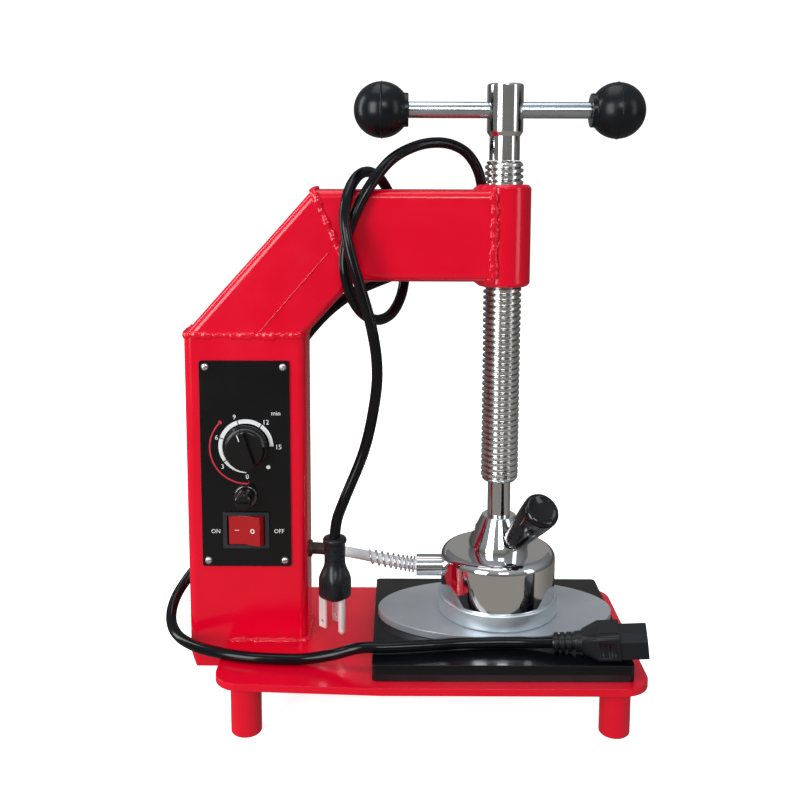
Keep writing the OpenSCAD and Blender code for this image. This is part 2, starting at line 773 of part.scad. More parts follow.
// Ferrule where the lead enters the shell
module lead_ferrule() {
  color("silver") difference() {
    translate([ferrule_x, mid_y, lead_z]) rotate([0, 90, 0]) {
      cylinder(d = ferrule_d, h = ferrule_l + 4);
      cylinder(d = 12, h = ferrule_l + 5);
    }
    translate([ferrule_x - 1, mid_y, lead_z]) rotate([0, 90, 0])
      cylinder(d = lead_d + 2*gap, h = ferrule_l + 8);
    difference() {
      translate([screw_x, mid_y, lead_z - 20]) cylinder(d = shell_d + 2*seat, h = 40);
      translate([ferrule_x, mid_y, lead_z]) rotate([0, 90, 0])
        cylinder(d = 12, h = ferrule_l + 6);
    }
  }
}

// Height of the lead's middle line, t from the ferrule to the column
function lead_at(t) = [ferrule_x - t*(ferrule_x - column_r), mid_y,
  lead_z + lead_rise*(0.75*t + 1.5*t*t - 1.25*t*t*t)];

// Guard spring: wire wound round the lead, closer together at the ferrule
guard_span = guard_l/(ferrule_x - column_r);
function guard_at(i) =
  let (u = i/turns_n, t = guard_span*((1 - guard_tight)*u + guard_tight*u*u),
       c = lead_at(t + 0.9*guard_wire/(ferrule_x - column_r)),
       r = guard_r0 + (guard_r1 - guard_r0)*u, a = 360*i/rings)
  c + [0, r*sin(a), r*cos(a)];
guard_pts = concat([guard_at(0) + [0.9*guard_wire, 0, 0]],
  [for (i = [0:turns_n]) guard_at(i)],
  [guard_at(turns_n) + [-guard_wire, 0.4, 0]]);
guard_room = min([for (i = [0:turns_n - rings + 2], k = [rings - 2:rings])
  i + k > turns_n ? 99 : norm(guard_at(i) - guard_at(i + k))]) - guard_wire;
echo(guard_room = guard_room);
module lead_spring() {
  color("silver") swept(guard_pts, guard_wire/2, 6, [-1, 0, 0], [-1, 0, 0]);
}

// Head's lead: sleeved cable from the column to the head
module head_lead() {
  p = concat([[screw_x - 34, mid_y, lead_z], [ferrule_x + 9, mid_y, lead_z]],
    [for (i = [0:12]) lead_at(i/12)], [[lead_exit, mid_y, grommet_z]]);
  color("white") swept(p, lead_d/2, 12, [-1, 0, 0], [-1, 0, 0]);
}

// Press screw: shank with a groove, thread, neck and cross-bored hub
module press_screw() {
  a = shank_d/2;
  t = screw_d/2;
  n = neck_d/2;
  u = hub_d/2;
  color("silver") translate([screw_x, mid_y, 0]) difference() {
    rotate_extrude() polygon([[0, shank_z], [a - 0.8, shank_z], [a, shank_z + 0.8],
      [a, groove_z], [a - 1.4, groove_z], [a - 1.4, groove_z + groove_h], [a, groove_z + groove_h],
      [a, thread_z], [t - 2, thread_z], [t, thread_z + 2], [t, neck_z - 1.5], [t - 1.5, neck_z],
      [n, neck_z], [n, hub_z], [u, hub_z + 3], [u, hub_z + hub_h - 1], [u - 1, hub_z + hub_h],
      [0, hub_z + hub_h]]);
    translate([-hub_d, 0, bar_z]) rotate([0, 90, 0]) cylinder(d = bar_d + 2*run, h = 2*hub_d);
  }
}

// Turning bar: slides through the hub, with reduced ends in the knobs
knob_face = 17.9;
stub_d = 8;
module turning_bar() {
  color("silver") translate([screw_x, mid_y, bar_z]) rotate([0, 90, 0]) {
    translate([0, 0, -bar_left + knob_face])
      cylinder(d = bar_d, h = bar_left + bar_right - 2*knob_face);
    translate([0, 0, -bar_left]) cylinder(d = stub_d, h = bar_left + bar_right);
  }
}

// Ball knob with a collar towards the bar, bored for the bar's end
module ball_knob() {
  color("#0d0e10") rotate([0, 90, 0]) rotate_extrude() difference() {
    union() {
      intersection() {
        circle(d = knob_d);
        translate([0, -knob_d]) square(2*knob_d);
      }
      square([11.3, knob_face]);
    }
    translate([-1, -0.5]) square([1 + stub_d/2 + seat, knob_d]);
  }
}
module knob_left() {
  translate([screw_x - bar_left, mid_y, bar_z]) ball_knob();
}
module knob_right() {
  translate([screw_x + bar_right, mid_y, bar_z]) mirror([1, 0, 0]) ball_knob();
}

// Power cord: one round lead from the plug to the connector
conn_dir = [cos(conn_turn)*cos(conn_rise), sin(conn_turn)*cos(conn_rise), sin(conn_rise)];
cord_n = len(cord_route);
cord_pts = concat([for (i = [0:cord_n - 2], t = i % 4 == 1 ? [0, 0.5] : [0])
  spline(cord_route, i, t)], [cord_route[cord_n - 1]]);
cord_room = min([for (i = [0:len(cord_pts) - 8], k = [i + 7:len(cord_pts) - 1])
  norm(cord_pts[i] - cord_pts[k])]) - cord_d;
echo(cord_room = cord_room);
module power_cord() {
  color("#15161a") swept(cord_pts, cord_d/2, 10, [0, 0, 1], conn_dir);
}

// Plug: moulded body hanging blades down, with a collar at the cord
module plug_body() {
  color("#15161a") translate(plug_at) rotate([180, 0, plug_turn]) difference() {
    union() {
      rotate_extrude() polygon([[0, 0], [6.9, 0], [8.1, 1.2], [8.1, 3.2], [7.2, 4.8],
        [7.2, 17], [8.5, 24], [8.5, 42], [0, 42]]);
      hull() {
        translate([0, 0, 19]) cylinder(d = 15.4, h = 1);
        translate([0, 0, 28]) linear_extrude(13) round_rect(19.4, 19.4, 4);
        translate([0, 0, 41]) linear_extrude(1) round_rect(18.8, 18.8, 3.7);
      }
    }
    for (x = [-6.35, 6.35]) translate([x - 0.85, -8.6, 30]) cube([1.7, 6.6, 20]);
    translate([0, 6.5, 30]) cylinder(d = 5, h = 20);
  }
}

// Two flat blades and the round earth pin of the plug
module plug_blades() {
  color("silver") translate(plug_at) rotate([180, 0, plug_turn]) {
    for (x = [-6.35, 6.35]) translate([x - 0.75, -8.5, 30]) difference() {
      cube([1.5, 6.4, 33.5]);
      translate([-1, 3.2, 29]) rotate([0, 90, 0]) cylinder(d = 2.6, h = 4);
    }
    translate([0, 6.5, 30]) rotate_extrude()
      polygon([[0, 0], [2.4, 0], [2.4, 35], [1.2, 37], [0, 37]]);
  }
}

// Connector for the power inlet: strain relief, body and nose with three slots
module connector_body() {
  color("#15161a") translate(conn_at) rotate([0, 90 - conn_rise, conn_turn]) rotate(90) difference() {
    union() {
      rotate_extrude() polygon([[0, 0], [5, 0], [5, 1], [6.2, 1], [6.2, 3.4], [4.9, 3.4], [4.9, 5],
        [6.2, 5], [6.2, 7.6], [4.9, 7.6], [4.9, 9.2], [6.3, 9.2], [6.3, 12], [5, 12], [5, 14.4],
        [6.6, 14.4], [7, 24], [0, 24]]);
      hull() {
        translate([0, 0, 19]) linear_extrude(1) round_rect(16, 13, 4);
        translate([0, 0, 29]) linear_extrude(14) round_rect(27, 18, 3);
      }
      translate([0, 0, 42]) linear_extrude(18.5)
        polygon([[-11.9, -7.8], [11.9, -7.8], [11.9, 3.4], [7.4, 7.8], [-7.4, 7.8], [-11.9, 3.4]]);
    }
    for (p = [[-pin_x, -2], [pin_x, -2], [0, 2]])
      translate([p[0] - 1.2, p[1] - 2.3, 46]) cube([2.4, 4.6, 16]);
  }
}

base_plate();
base_feet();
column_tube();
brace_tube();
arm_tube();
screw_boss();
support_block();
block_screws();
forming_plate();
control_panel();
panel_screws();
timer_body();
timer_shaft();
timer_knob();
rocker_housing();
rocker_paddle();
fuse_holder();
fuse_cap();
fuse_cartridge();
power_inlet();
inlet_pins();
inlet_screws();
terminal_block();
lead_grommet();
heating_plate();
heating_ring();
thermostat();
insulation_disc();
heater_shell();
cone_screws();
swivel_cone();
thrust_washer();
retaining_screws();
handle_stud();
handle_grip();
lead_ferrule();
lead_spring();
head_lead();
press_screw();
turning_bar();
knob_left();
knob_right();
power_cord();
plug_body();
plug_blades();
connector_body();
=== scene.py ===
import math
import random

import bpy
from mathutils import Matrix, Vector


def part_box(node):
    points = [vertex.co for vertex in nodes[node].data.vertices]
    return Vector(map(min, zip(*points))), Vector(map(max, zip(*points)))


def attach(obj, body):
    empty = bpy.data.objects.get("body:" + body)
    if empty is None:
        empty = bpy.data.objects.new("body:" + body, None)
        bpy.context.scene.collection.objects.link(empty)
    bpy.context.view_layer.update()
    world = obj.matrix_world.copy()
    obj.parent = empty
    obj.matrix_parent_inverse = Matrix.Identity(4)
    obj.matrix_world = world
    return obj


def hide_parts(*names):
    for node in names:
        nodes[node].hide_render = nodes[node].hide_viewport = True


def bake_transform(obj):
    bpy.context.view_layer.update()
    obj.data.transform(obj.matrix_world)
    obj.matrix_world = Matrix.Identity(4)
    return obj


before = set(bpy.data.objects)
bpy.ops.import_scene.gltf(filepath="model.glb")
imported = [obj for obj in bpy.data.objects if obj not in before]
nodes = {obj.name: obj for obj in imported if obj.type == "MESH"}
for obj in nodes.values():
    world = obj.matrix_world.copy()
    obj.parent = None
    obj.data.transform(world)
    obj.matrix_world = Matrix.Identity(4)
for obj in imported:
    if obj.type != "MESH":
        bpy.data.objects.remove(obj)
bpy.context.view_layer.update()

# The studio: the photograph's camera in front of the machine, a little above it and tipped down,
# a pale paper bowl all round it, and large soft lights to the left, above, to the right and behind.
bpy.ops.object.select_all(action="DESELECT")
bpy.ops.object.camera_add(location=(-0.0092, -0.67105, 0.3617))
camera = bpy.context.object
camera.name = "camera"
tip, lean = math.radians(90 - 7.31), math.radians(0.2)
camera.rotation_euler = (Matrix.Rotation(tip, 3, "X") @ Matrix.Rotation(lean, 3, "Z")).to_euler()
camera.data.lens = 45
camera.data.sensor_width = 36
camera.data.shift_y = -0.123
camera.data.clip_start = 0.01
bpy.context.scene.camera = camera
bpy.context.scene.view_settings.view_transform = "Standard"


def lit(name, colour, glow, strength, rough):
    """A studio surface that gives off some light of its own."""
    m = bpy.data.materials.new(name)
    m.use_nodes = True
    face = m.node_tree.nodes["Principled BSDF"]
    face.inputs["Base Color"].default_value = (*colour, 1)
    face.inputs["Roughness"].default_value = rough
    face.inputs["Emission Color"].default_value = (*glow, 1)
    face.inputs["Emission Strength"].default_value = strength
    return m


bpy.ops.object.select_all(action="DESELECT")
bpy.ops.mesh.primitive_grid_add(x_subdivisions=96, y_subdivisions=40, size=1)
sweep = bpy.context.object
sweep.name = "sweep"
paper_run, level, turn = 6.5, 2.4, 1.0
for v in sweep.data.vertices:
    run, round_about = (v.co.y + 0.5) * paper_run, 2 * math.pi * v.co.x
    bend = min(max(run - level, 0) / turn, math.pi / 2)
    out = min(run, level) + turn * math.sin(bend)
    up = turn * (1 - math.cos(bend)) + max(run - level - turn * math.pi / 2, 0)
    v.co = (out * math.cos(round_about), out * math.sin(round_about), up)
bpy.ops.object.mode_set(mode="EDIT")
bpy.ops.mesh.remove_doubles(threshold=1e-5)
bpy.ops.object.mode_set(mode="OBJECT")
bpy.ops.object.shade_smooth()
sweep.data.materials.append(lit("pale_paper", (0.9, 0.9, 0.9), (1, 1, 1), 0.78, 0.75))
sweep.visible_glossy = sweep.visible_diffuse = sweep.visible_shadow = False

for name, place, aim, size, watts in (
        ("light_left", (-0.95, -1.25, 0.55), (-0.03, 0, 0.2), (0.7, 1.1), 18),
        ("light_edge", (-1.2, 0.12, 0.62), (-0.08, 0, 0.3), (0.22, 1.1), 6),
        ("light_back", (0.5, 1.5, 0.8), (0, 0, 0.2), (1.2, 0.8), 13),
        ("light_top", (-0.1, 0.05, 1.75), (0, 0, 0.2), (1.2, 0.9), 6),
        ("light_right", (1.3, -0.7, 0.6), (0.03, 0, 0.2), (0.4, 1.1), 3),
        ("light_front", (0.25, -1.7, 1.0), (0, 0, 0.2), (0.6, 0.4), 7)):
    bpy.ops.object.light_add(type="AREA", location=place)
    lamp = bpy.context.object
    lamp.name = name
    lamp.rotation_euler = (Vector(aim) - Vector(place)).to_track_quat("-Z", "Y").to_euler()
    lamp.data.shape = "RECTANGLE"
    lamp.data.size, lamp.data.size_y = size
    lamp.data.energy = watts
    lamp.visible_camera = False
    lamp.visible_glossy = name != "light_back"

# A dim card behind the machine, which only its plating mirrors.
bpy.ops.mesh.primitive_plane_add(size=1, location=(0, 1.6, 0.6), rotation=(math.radians(90), 0, 0))
wall_card = bpy.context.object
wall_card.name = "wall_card"
wall_card.scale = (2.6, 0.33, 1)
wall_card.data.materials.append(lit("lit_card", (0, 0, 0), (1, 0.96, 0.9), 0.28, 0.5))
wall_card.visible_camera = wall_card.visible_diffuse = wall_card.visible_shadow = False

# The air's own light: warm below, dim at the machine's height, cool above, and stronger in front.
bpy.context.scene.world = bpy.data.worlds.new("studio_air")
bpy.context.scene.world.use_nodes = True
air = bpy.context.scene.world.node_tree
way = air.nodes.new("ShaderNodeTexCoord")
parts = air.nodes.new("ShaderNodeSeparateXYZ")
room = air.nodes.new("ShaderNodeValToRGB")
room.color_ramp.elements[0].color = (0.45, 0.42, 0.38, 1)
room.color_ramp.elements[1].color = (0.75, 0.8, 0.86, 1)
for height, shade in ((0.33, (0.52, 0.48, 0.43, 1)), (0.44, (0.20, 0.19, 0.18, 1)),
                      (0.56, (0.36, 0.35, 0.34, 1)), (0.7, (0.5, 0.52, 0.54, 1))):
    room.color_ramp.elements.new(height).color = shade
rise = air.nodes.new("ShaderNodeMapRange")
rise.inputs["From Min"].default_value = -1
air.links.new(way.outputs["Generated"], parts.inputs["Vector"])
air.links.new(parts.outputs["Z"], rise.inputs["Value"])
air.links.new(rise.outputs["Result"], room.inputs["Fac"])
air.links.new(room.outputs["Color"], air.nodes["Background"].inputs["Color"])
depth = air.nodes.new("ShaderNodeMapRange")
depth.inputs["From Min"].default_value = -0.2
depth.inputs["From Max"].default_value = 0.5
depth.inputs["To Min"].default_value = 0.62
depth.inputs["To Max"].default_value = 0.33
air.links.new(parts.outputs["Y"], depth.inputs["Value"])
air.links.new(depth.outputs["Result"], air.nodes["Background"].inputs["Strength"])


# Base plate: 5 mm steel with round corners, notched for the column and sprayed red with it.
# Its edges are dressed with a file before painting, so they are soft.
def mottle_group():
    """Fine skin and broad patches of a sprayed, moulded or rolled surface."""
    g = bpy.data.node_groups.new("mottle", "ShaderNodeTree")
    for socket in ("Grain", "Patches"):
        g.interface.new_socket(socket, in_out="INPUT", socket_type="NodeSocketFloat")
    g.interface.new_socket("Stretch", in_out="INPUT", socket_type="NodeSocketVector")
    for socket in ("Height", "Patch"):
        g.interface.new_socket(socket, in_out="OUTPUT", socket_type="NodeSocketFloat")
    a = g.nodes.new("NodeGroupInput")
    z = g.nodes.new("NodeGroupOutput")
    spot = g.nodes.new("ShaderNodeTexCoord")
    drawn = g.nodes.new("ShaderNodeVectorMath")
    drawn.operation = "MULTIPLY"
    fine = g.nodes.new("ShaderNodeTexNoise")
    fine.inputs["Detail"].default_value = 2
    broad = g.nodes.new("ShaderNodeTexNoise")
    broad.inputs["Detail"].default_value = 4
    g.links.new(spot.outputs["Object"], drawn.inputs[0])
    g.links.new(a.outputs["Stretch"], drawn.inputs[1])
    g.links.new(drawn.outputs["Vector"], fine.inputs["Vector"])
    g.links.new(spot.outputs["Object"], broad.inputs["Vector"])
    g.links.new(a.outputs["Grain"], fine.inputs["Scale"])
    g.links.new(a.outputs["Patches"], broad.inputs["Scale"])
    g.links.new(fine.outputs["Fac"], z.inputs["Height"])
    g.links.new(broad.outputs["Fac"], z.inputs["Patch"])
    return g


mottle = mottle_group()


def surface(name, dark, light, rough, grain, bump, patches=35, stretch=(1, 1, 1), **fixed):
    """A finish whose colour and gloss drift in patches over a fine skin."""
    m = bpy.data.materials.new(name)
    m.use_nodes = True
    t = m.node_tree
    skin = t.nodes["Principled BSDF"]
    for socket, value in fixed.items():
        skin.inputs[socket.replace("_", " ")].default_value = value
    cover = t.nodes.new("ShaderNodeGroup")
    cover.name = "cover"
    cover.node_tree = mottle
    cover.inputs["Grain"].default_value = grain
    cover.inputs["Patches"].default_value = patches
    cover.inputs["Stretch"].default_value = stretch
    tint = t.nodes.new("ShaderNodeMix")
    tint.name = "tint"
    tint.data_type = "RGBA"
    tint.inputs["A"].default_value = (*dark, 1)
    tint.inputs["B"].default_value = (*light, 1)
    gloss = t.nodes.new("ShaderNodeMapRange")
    gloss.inputs["From Min"].default_value = 0.3
    gloss.inputs["From Max"].default_value = 0.7
    gloss.inputs["To Min"].default_value, gloss.inputs["To Max"].default_value = rough
    dent = t.nodes.new("ShaderNodeBump")
    dent.name = "dent"
    dent.inputs["Strength"].default_value = bump
    dent.inputs["Distance"].default_value = 0.0004
    t.links.new(cover.outputs["Patch"], tint.inputs["Factor"])
    t.links.new(cover.outputs["Patch"], gloss.inputs["Value"])
    t.links.new(tint.outputs["Result"], skin.inputs["Base Color"])
    t.links.new(gloss.outputs["Result"], skin.inputs["Roughness"])
    t.links.new(cover.outputs["Height"], dent.inputs["Height"])
    t.links.new(dent.outputs["Normal"], skin.inputs["Normal"])
    return m


def pick_up(piece):
    """Makes a piece the only one selected, for the operators that follow."""
    bpy.ops.object.select_all(action="DESELECT")
    piece.select_set(True)
    bpy.context.view_layer.objects.active = piece


crease = math.radians(32)


def rounded(node, name, width, segments=2, angle=35):
    """A copy of a solid with its sharp edges eased, as a file or a tumbler leaves them."""
    piece = bpy.data.objects.new(name, nodes[node].data.copy())
    bpy.context.scene.collection.objects.link(piece)
    pick_up(piece)
    bpy.ops.mesh.customdata_custom_splitnormals_clear()
    bpy.ops.object.mode_set(mode="EDIT")
    bpy.ops.mesh.select_all(action="SELECT")
    bpy.ops.mesh.remove_doubles(threshold=1e-6)
    bpy.ops.mesh.dissolve_limited(angle_limit=math.radians(0.5))
    bpy.ops.object.mode_set(mode="OBJECT")
    if width:
        ease = piece.modifiers.new("eased_edges", "BEVEL")
        ease.width = width
        ease.segments = segments
        ease.limit_method = "ANGLE"
        ease.angle_limit = math.radians(angle)
        bpy.ops.object.modifier_apply(modifier="eased_edges")
    bpy.ops.object.shade_smooth_by_angle(angle=crease)
    piece.modifiers.new("level_faces", "WEIGHTED_NORMAL").keep_sharp = True
    bpy.ops.object.modifier_apply(modifier="level_faces")
    return piece


def fit(piece, finish, body, slot, *stands_for):
    """Gives a piece its finish and fixes it to the body that carries it."""
    piece.data.materials.clear()
    piece.data.materials.append(finish)
    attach(piece, body)
    if stands_for:
        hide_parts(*stands_for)
    return piece


red_enamel = surface("red_enamel", (0.68, 0.0002, 0.016), (0.78, 0.0006, 0.026), (0.12, 0.22), 420, 0.06,
                     Specular_IOR_Level=0.4, Coat_Weight=0.12, Coat_Roughness=0.05)
fit(rounded("base_plate", "painted_base_plate", 0.0009, 3), red_enamel, "frame", "red_paint", "base_plate")

# Feet: four lengths of round bar, sawn square, welded under the plate's corners and painted with it.
# Their ends are only broken with a file.
fit(rounded("base_feet", "painted_feet", 0.0004), red_enamel, "frame", "red_paint", "base_feet")

# C-frame: column, slanting brace and arm of box tube, with a turned boss for the press screw.
# Each is cut, welded to the next and painted as one piece.
for tube in ("column_tube", "brace_tube", "arm_tube"):
    fit(rounded(tube, "painted_" + tube, 0.0003), red_enamel, "frame", "red_paint", tube)
fit(rounded("screw_boss", "painted_boss", 0.0012, 3), red_enamel, "frame", "red_paint", "screw_boss")


# Welds: hand-laid beads in overlapping drops where the tubes, boss, feet and plate meet.
# They are left as laid, with a few thick starts and stops, and painted over.
def box_ring(middle, u, v, half_u, half_v, corner, spacing):
    """Points and outward directions round a box section with round corners."""
    u, v, middle = Vector(u), Vector(v), Vector(middle)
    stops = []
    for side in range(4):
        a, b = ((u, v), (v, -u), (-u, -v), (-v, u))[side]
        ha, hb = ((half_u, half_v), (half_v, half_u))[side % 2]
        straight = 2 * (hb - corner)
        for k in range(max(int(straight / spacing), 1)):
            slide = -hb + corner + straight * k / max(int(straight / spacing), 1)
            stops.append((middle + a * ha + b * slide, a))
        for k in range(max(int(corner * 1.57 / spacing), 1)):
            w = math.pi / 2 * k / max(int(corner * 1.57 / spacing), 1)
            out = a * math.cos(w) + b * math.sin(w)
            stops.append((middle + a * (ha - corner) + b * (hb - corner) + out * corner, out))
    return stops


def straight_run(start, end, out, spacing):
    """Points along a straight joint, all facing one way."""
    start, end = Vector(start), Vector(end)
    count = int((end - start).length / spacing)
    return [(start.lerp(end, k / count), Vector(out).normalized()) for k in range(count + 1)]


def round_run(middle, radius, first, last, out_rise, spacing):
    """Points on an arc about an upright axis, facing outwards and up or down."""
    count = max(int(radius * abs(last - first) / spacing), 2)
    stops = []
    for k in range(count + 1):
        w = first + (last - first) * k / count
        away = Vector((math.cos(w), math.sin(w), 0))
        stops.append((Vector(middle) + away * radius, (away + Vector((0, 0, out_rise))).normalized()))
    return stops


def weld(name, runs, half_width, proud):
    """Lays drops along the runs and melts them into one lumpy bead."""
    hand = random.Random(name)
    bpy.ops.object.select_all(action="DESELECT")
    bpy.ops.mesh.primitive_ico_sphere_add(subdivisions=1, radius=0.0002, location=runs[0][0][0])
    piece = bpy.context.object
    piece.name = name
    bpy.ops.object.transform_apply(location=True, rotation=True, scale=True)
    bpy.ops.object.mode_set(mode="EDIT")
    for run in runs:
        for k, (at, out) in enumerate(run):
            along = (run[min(k + 1, len(run) - 1)][0] - run[max(k - 1, 0)][0]).normalized()
            across = out.cross(along).normalized()
            size = hand.uniform(0.8, 1.2) * (1.25 if hand.random() < 0.12 else 1)
            at = at + across * hand.uniform(-0.18, 0.18) * half_width
            facing = Matrix((along, across, out)).transposed().to_euler()
            bpy.ops.mesh.primitive_ico_sphere_add(
                subdivisions=2, radius=1, location=at, rotation=facing,
                scale=(0.0021 * size, half_width * size, proud * size * hand.uniform(0.8, 1.25)))
    bpy.ops.object.mode_set(mode="OBJECT")
    melt = piece.modifiers.new("melt", "REMESH")
    melt.mode = "VOXEL"
    melt.voxel_size = 0.00055
    flow = piece.modifiers.new("flow", "SMOOTH")
    flow.factor = 0.5
    flow.iterations = 3
    for step in ("melt", "flow"):
        bpy.ops.object.modifier_apply(modifier=step)
    bpy.ops.object.shade_smooth()
    fit(piece, red_enamel, "frame", "red_paint")


def extent(node, axis):
    """Where a solid begins and ends along an axis, to the micron."""
    low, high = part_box(node)
    i = "xyz".index(axis)
    return round(low[i], 6), round(high[i], 6)


def middle_of(node, axis):
    """The middle of a solid along an axis."""
    return sum(extent(node, axis)) / 2


column_l, column_r = extent("column_tube", "x")
front_y, rear_y = extent("column_tube", "y")
column_top = extent("column_tube", "z")[1]
arm_low, arm_top = extent("arm_tube", "z")
plate_low, plate_top = extent("base_plate", "z")
middle_x, mid_y, screw_x = (column_l + column_r) / 2, (front_y + rear_y) / 2, middle_of("press_screw", "x")
half_wide, half_deep, tube_corner, beads = (column_r - column_l) / 2, (rear_y - front_y) / 2, 0.006, 0.0022
weld("weld_column_top", [box_ring((middle_x, mid_y, column_top), (1, 0, 0), (0, 1, 0), half_wide, half_deep,
                                  tube_corner, beads)], half_width=0.0026, proud=0.0011)
mitre_top, mitre_low = Vector((-0.0672, mid_y, arm_top)), Vector((-0.04, mid_y, arm_low))
mitre = mitre_low - mitre_top
weld("weld_mitre", [box_ring((mitre_top + mitre_low) / 2, mitre.normalized(), (0, 1, 0), mitre.length / 2, half_deep,
                             tube_corner, beads)], half_width=0.0028, proud=0.0014)
boss_x, boss_r, sunk = screw_x - 0.0078, 0.0188, 0.0009
runs = [straight_run((boss_x, y, arm_top - 0.004), (boss_x, y, arm_low + 0.0035), (0.25, out, 0), beads)
        for y, out in ((front_y + sunk, -1), (rear_y - sunk, 1))]
runs += [round_run((screw_x, mid_y, z), boss_r, math.radians(116), math.radians(244), out, beads)
         for z, out in ((arm_top + 0.0002, 1), (arm_low - 0.0002, -1))]
weld("weld_boss", runs, half_width=0.0032, proud=0.0015)
foot_l, foot_z, off, corner_in = -0.126, plate_top + 0.0002, 0.0004, 0.002
weld("weld_column_foot", [
    straight_run((foot_l, front_y - off, foot_z), (column_r - corner_in, front_y - off, foot_z), (0, -1, 1), beads),
    straight_run((column_r + off, front_y + corner_in, foot_z), (column_r + off, rear_y - corner_in, foot_z),
                 (1, 0, 1), beads),
    straight_run((foot_l, rear_y + off, foot_z), (column_r - corner_in, rear_y + off, foot_z), (0, 1, 1), beads)],
     half_width=0.0026, proud=0.0012)
feet_l, feet_r = extent("base_feet", "x")
foot_r, foot_y = 0.01, 0.058
weld("weld_feet", [round_run((x, y, plate_low - 0.0003), foot_r + 0.0003, 0, 2 * math.pi, -1, beads)
                   for x in (feet_l + foot_r, feet_r - foot_r) for y in (-foot_y, foot_y)],
     half_width=0.0018, proud=0.0011)


# Tube seam: the faint raised line along the brace where the strip was welded into a tube.
# The mill rolls it nearly flat, and the paint covers it.
def curve_through(points, steps):
    """Points of a smooth line through route points, in millimetres in and metres out."""
    p = [Vector(v) / 1000 for v in points]
    line = []
    for i in range(len(p) - 1):
        a, b, c, d = p[max(i - 1, 0)], p[i], p[i + 1], p[min(i + 2, len(p) - 1)]
        for k in range(steps):
            t = k / steps
            line.append(b + t / 2 * (c - a) + t * t * (a - 2.5 * b + 2 * c - 0.5 * d)
                        + t ** 3 * (-0.5 * a + 1.5 * b - 1.5 * c + 0.5 * d))
    return line + [p[-1]]


def lay_lead(name, line, diameter, sides=5):
    """A round lead along a line, as one curve with a round section."""
    shape = bpy.data.curves.new(name, "CURVE")
    shape.dimensions = "3D"
    shape.bevel_depth = diameter / 2
    shape.bevel_resolution = sides
    shape.use_fill_caps = True
    way = shape.splines.new("POLY")
    way.points.add(len(line) - 1)
    for point, co in zip(way.points, line):
        point.co = (*co, 1)
    way.use_smooth = True
    piece = bpy.data.objects.new(name, shape)
    bpy.context.scene.collection.objects.link(piece)
    return piece


def as_mesh(piece):
    """Turns a curve into a mesh that keeps its place."""
    pick_up(piece)
    bpy.ops.object.convert(target="MESH")
    return bpy.context.object


seam_route = [(-104.5, -12.5, 254.4), (-88, -12.65, 273.4), (-71, -12.65, 293), (-56.5, -12.5, 309.5)]
seam = as_mesh(lay_lead("tube_seam", curve_through(seam_route, 8), 0.0011, 3))
fit(seam, red_enamel, "frame", "red_paint")

# Support block: a flat steel block with well-rounded edges, in gloss black enamel.
# Plated screws hold it to the plate from below.
black_enamel = surface("black_enamel", (0.0025, 0.003, 0.004), (0.005, 0.0055, 0.007), (0.1, 0.2), 300, 0.05,
                       Specular_IOR_Level=0.27)
fit(rounded("support_block", "painted_block", 0.0026, 4), black_enamel, "frame", "black_paint", "support_block")
zinc = surface("zinc_plate", (0.50, 0.50, 0.51), (0.66, 0.66, 0.68), (0.22, 0.4), 500, 0.05, 60, Metallic=1.0)
fit(rounded("block_screws", "block_bolts", 0.0004), zinc, "frame", "steel", "block_screws")

# Forming plate: an oval of sawn aluminium, ground lengthwise. It lies loose on the block, and the patch
# is pressed against it.
ground_aluminium = surface("ground_aluminium", (0.44, 0.48, 0.52), (0.62, 0.67, 0.71), (0.32, 0.5), 700, 0.12, 45,
                           (0.12, 1, 1), Metallic=0.65)
fit(rounded("forming_plate", "ground_forming_plate", 0.0005, 2, 50), ground_aluminium, "frame", "aluminium",
    "forming_plate")

# Column's inside and rear: a moulded power inlet with plated blades, screwed over its opening, a moulded
# terminal block, and a rubber grommet where the head's lead comes out.
black_moulding = surface("black_moulding", (0.006, 0.006, 0.007), (0.011, 0.011, 0.013), (0.3, 0.42), 1200, 0.05)
fit(rounded("power_inlet", "moulded_inlet", 0.0004), black_moulding, "frame", "black_plastic", "power_inlet")
blade_plate = surface("plated_blade", (0.82, 0.83, 0.82), (0.92, 0.93, 0.92), (0.3, 0.42), 600, 0.03, 80,
                      Metallic=0.5)
fit(rounded("inlet_pins", "inlet_blades", 0.0002), blade_plate, "frame", "steel", "inlet_pins")
ivory_moulding = surface("ivory_moulding", (0.66, 0.61, 0.48), (0.74, 0.69, 0.56), (0.38, 0.5), 900, 0.05)
fit(rounded("terminal_block", "moulded_terminals", 0.0005), ivory_moulding, "frame", "ivory", "terminal_block")
brown_rubber = surface("brown_rubber", (0.03, 0.02, 0.016), (0.055, 0.04, 0.034), (0.45, 0.6), 900, 0.1)
fit(rounded("lead_grommet", "rubber_grommet", 0.0003), brown_rubber, "frame", "cord_black", "lead_grommet")

# Control panel: a thin gloss black plate on the column, held by four bright pan-head screws with
# crossed recesses. The timer's scale is printed on it in white and red.
panel_black = surface("panel_black", (0.0025, 0.0025, 0.003), (0.004, 0.004, 0.005), (0.14, 0.22), 700, 0.03,
                      Specular_IOR_Level=0.4)
fit(rounded("control_panel", "printed_panel", 0.0003, 2), panel_black, "frame", "black_paint", "control_panel")


def joined(pieces):
    """Joins loose pieces into the first of them."""
    bpy.ops.object.select_all(action="DESELECT")
    for piece in pieces:
        piece.select_set(True)
    bpy.context.view_layer.objects.active = pieces[0]
    bpy.ops.object.join()
    return pieces[0]


def block(place, middle, size):
    """A cutter's block in a piece's own frame, in millimetres."""
    bpy.ops.object.select_all(action="DESELECT")
    bpy.ops.mesh.primitive_cube_add(size=0.001)
    tool = bpy.context.object
    tool.matrix_world = place @ Matrix.Translation(Vector(middle) / 1000) @ Matrix.Diagonal((*size, 1))
    bpy.ops.object.transform_apply(location=True, rotation=True, scale=True)
    return tool


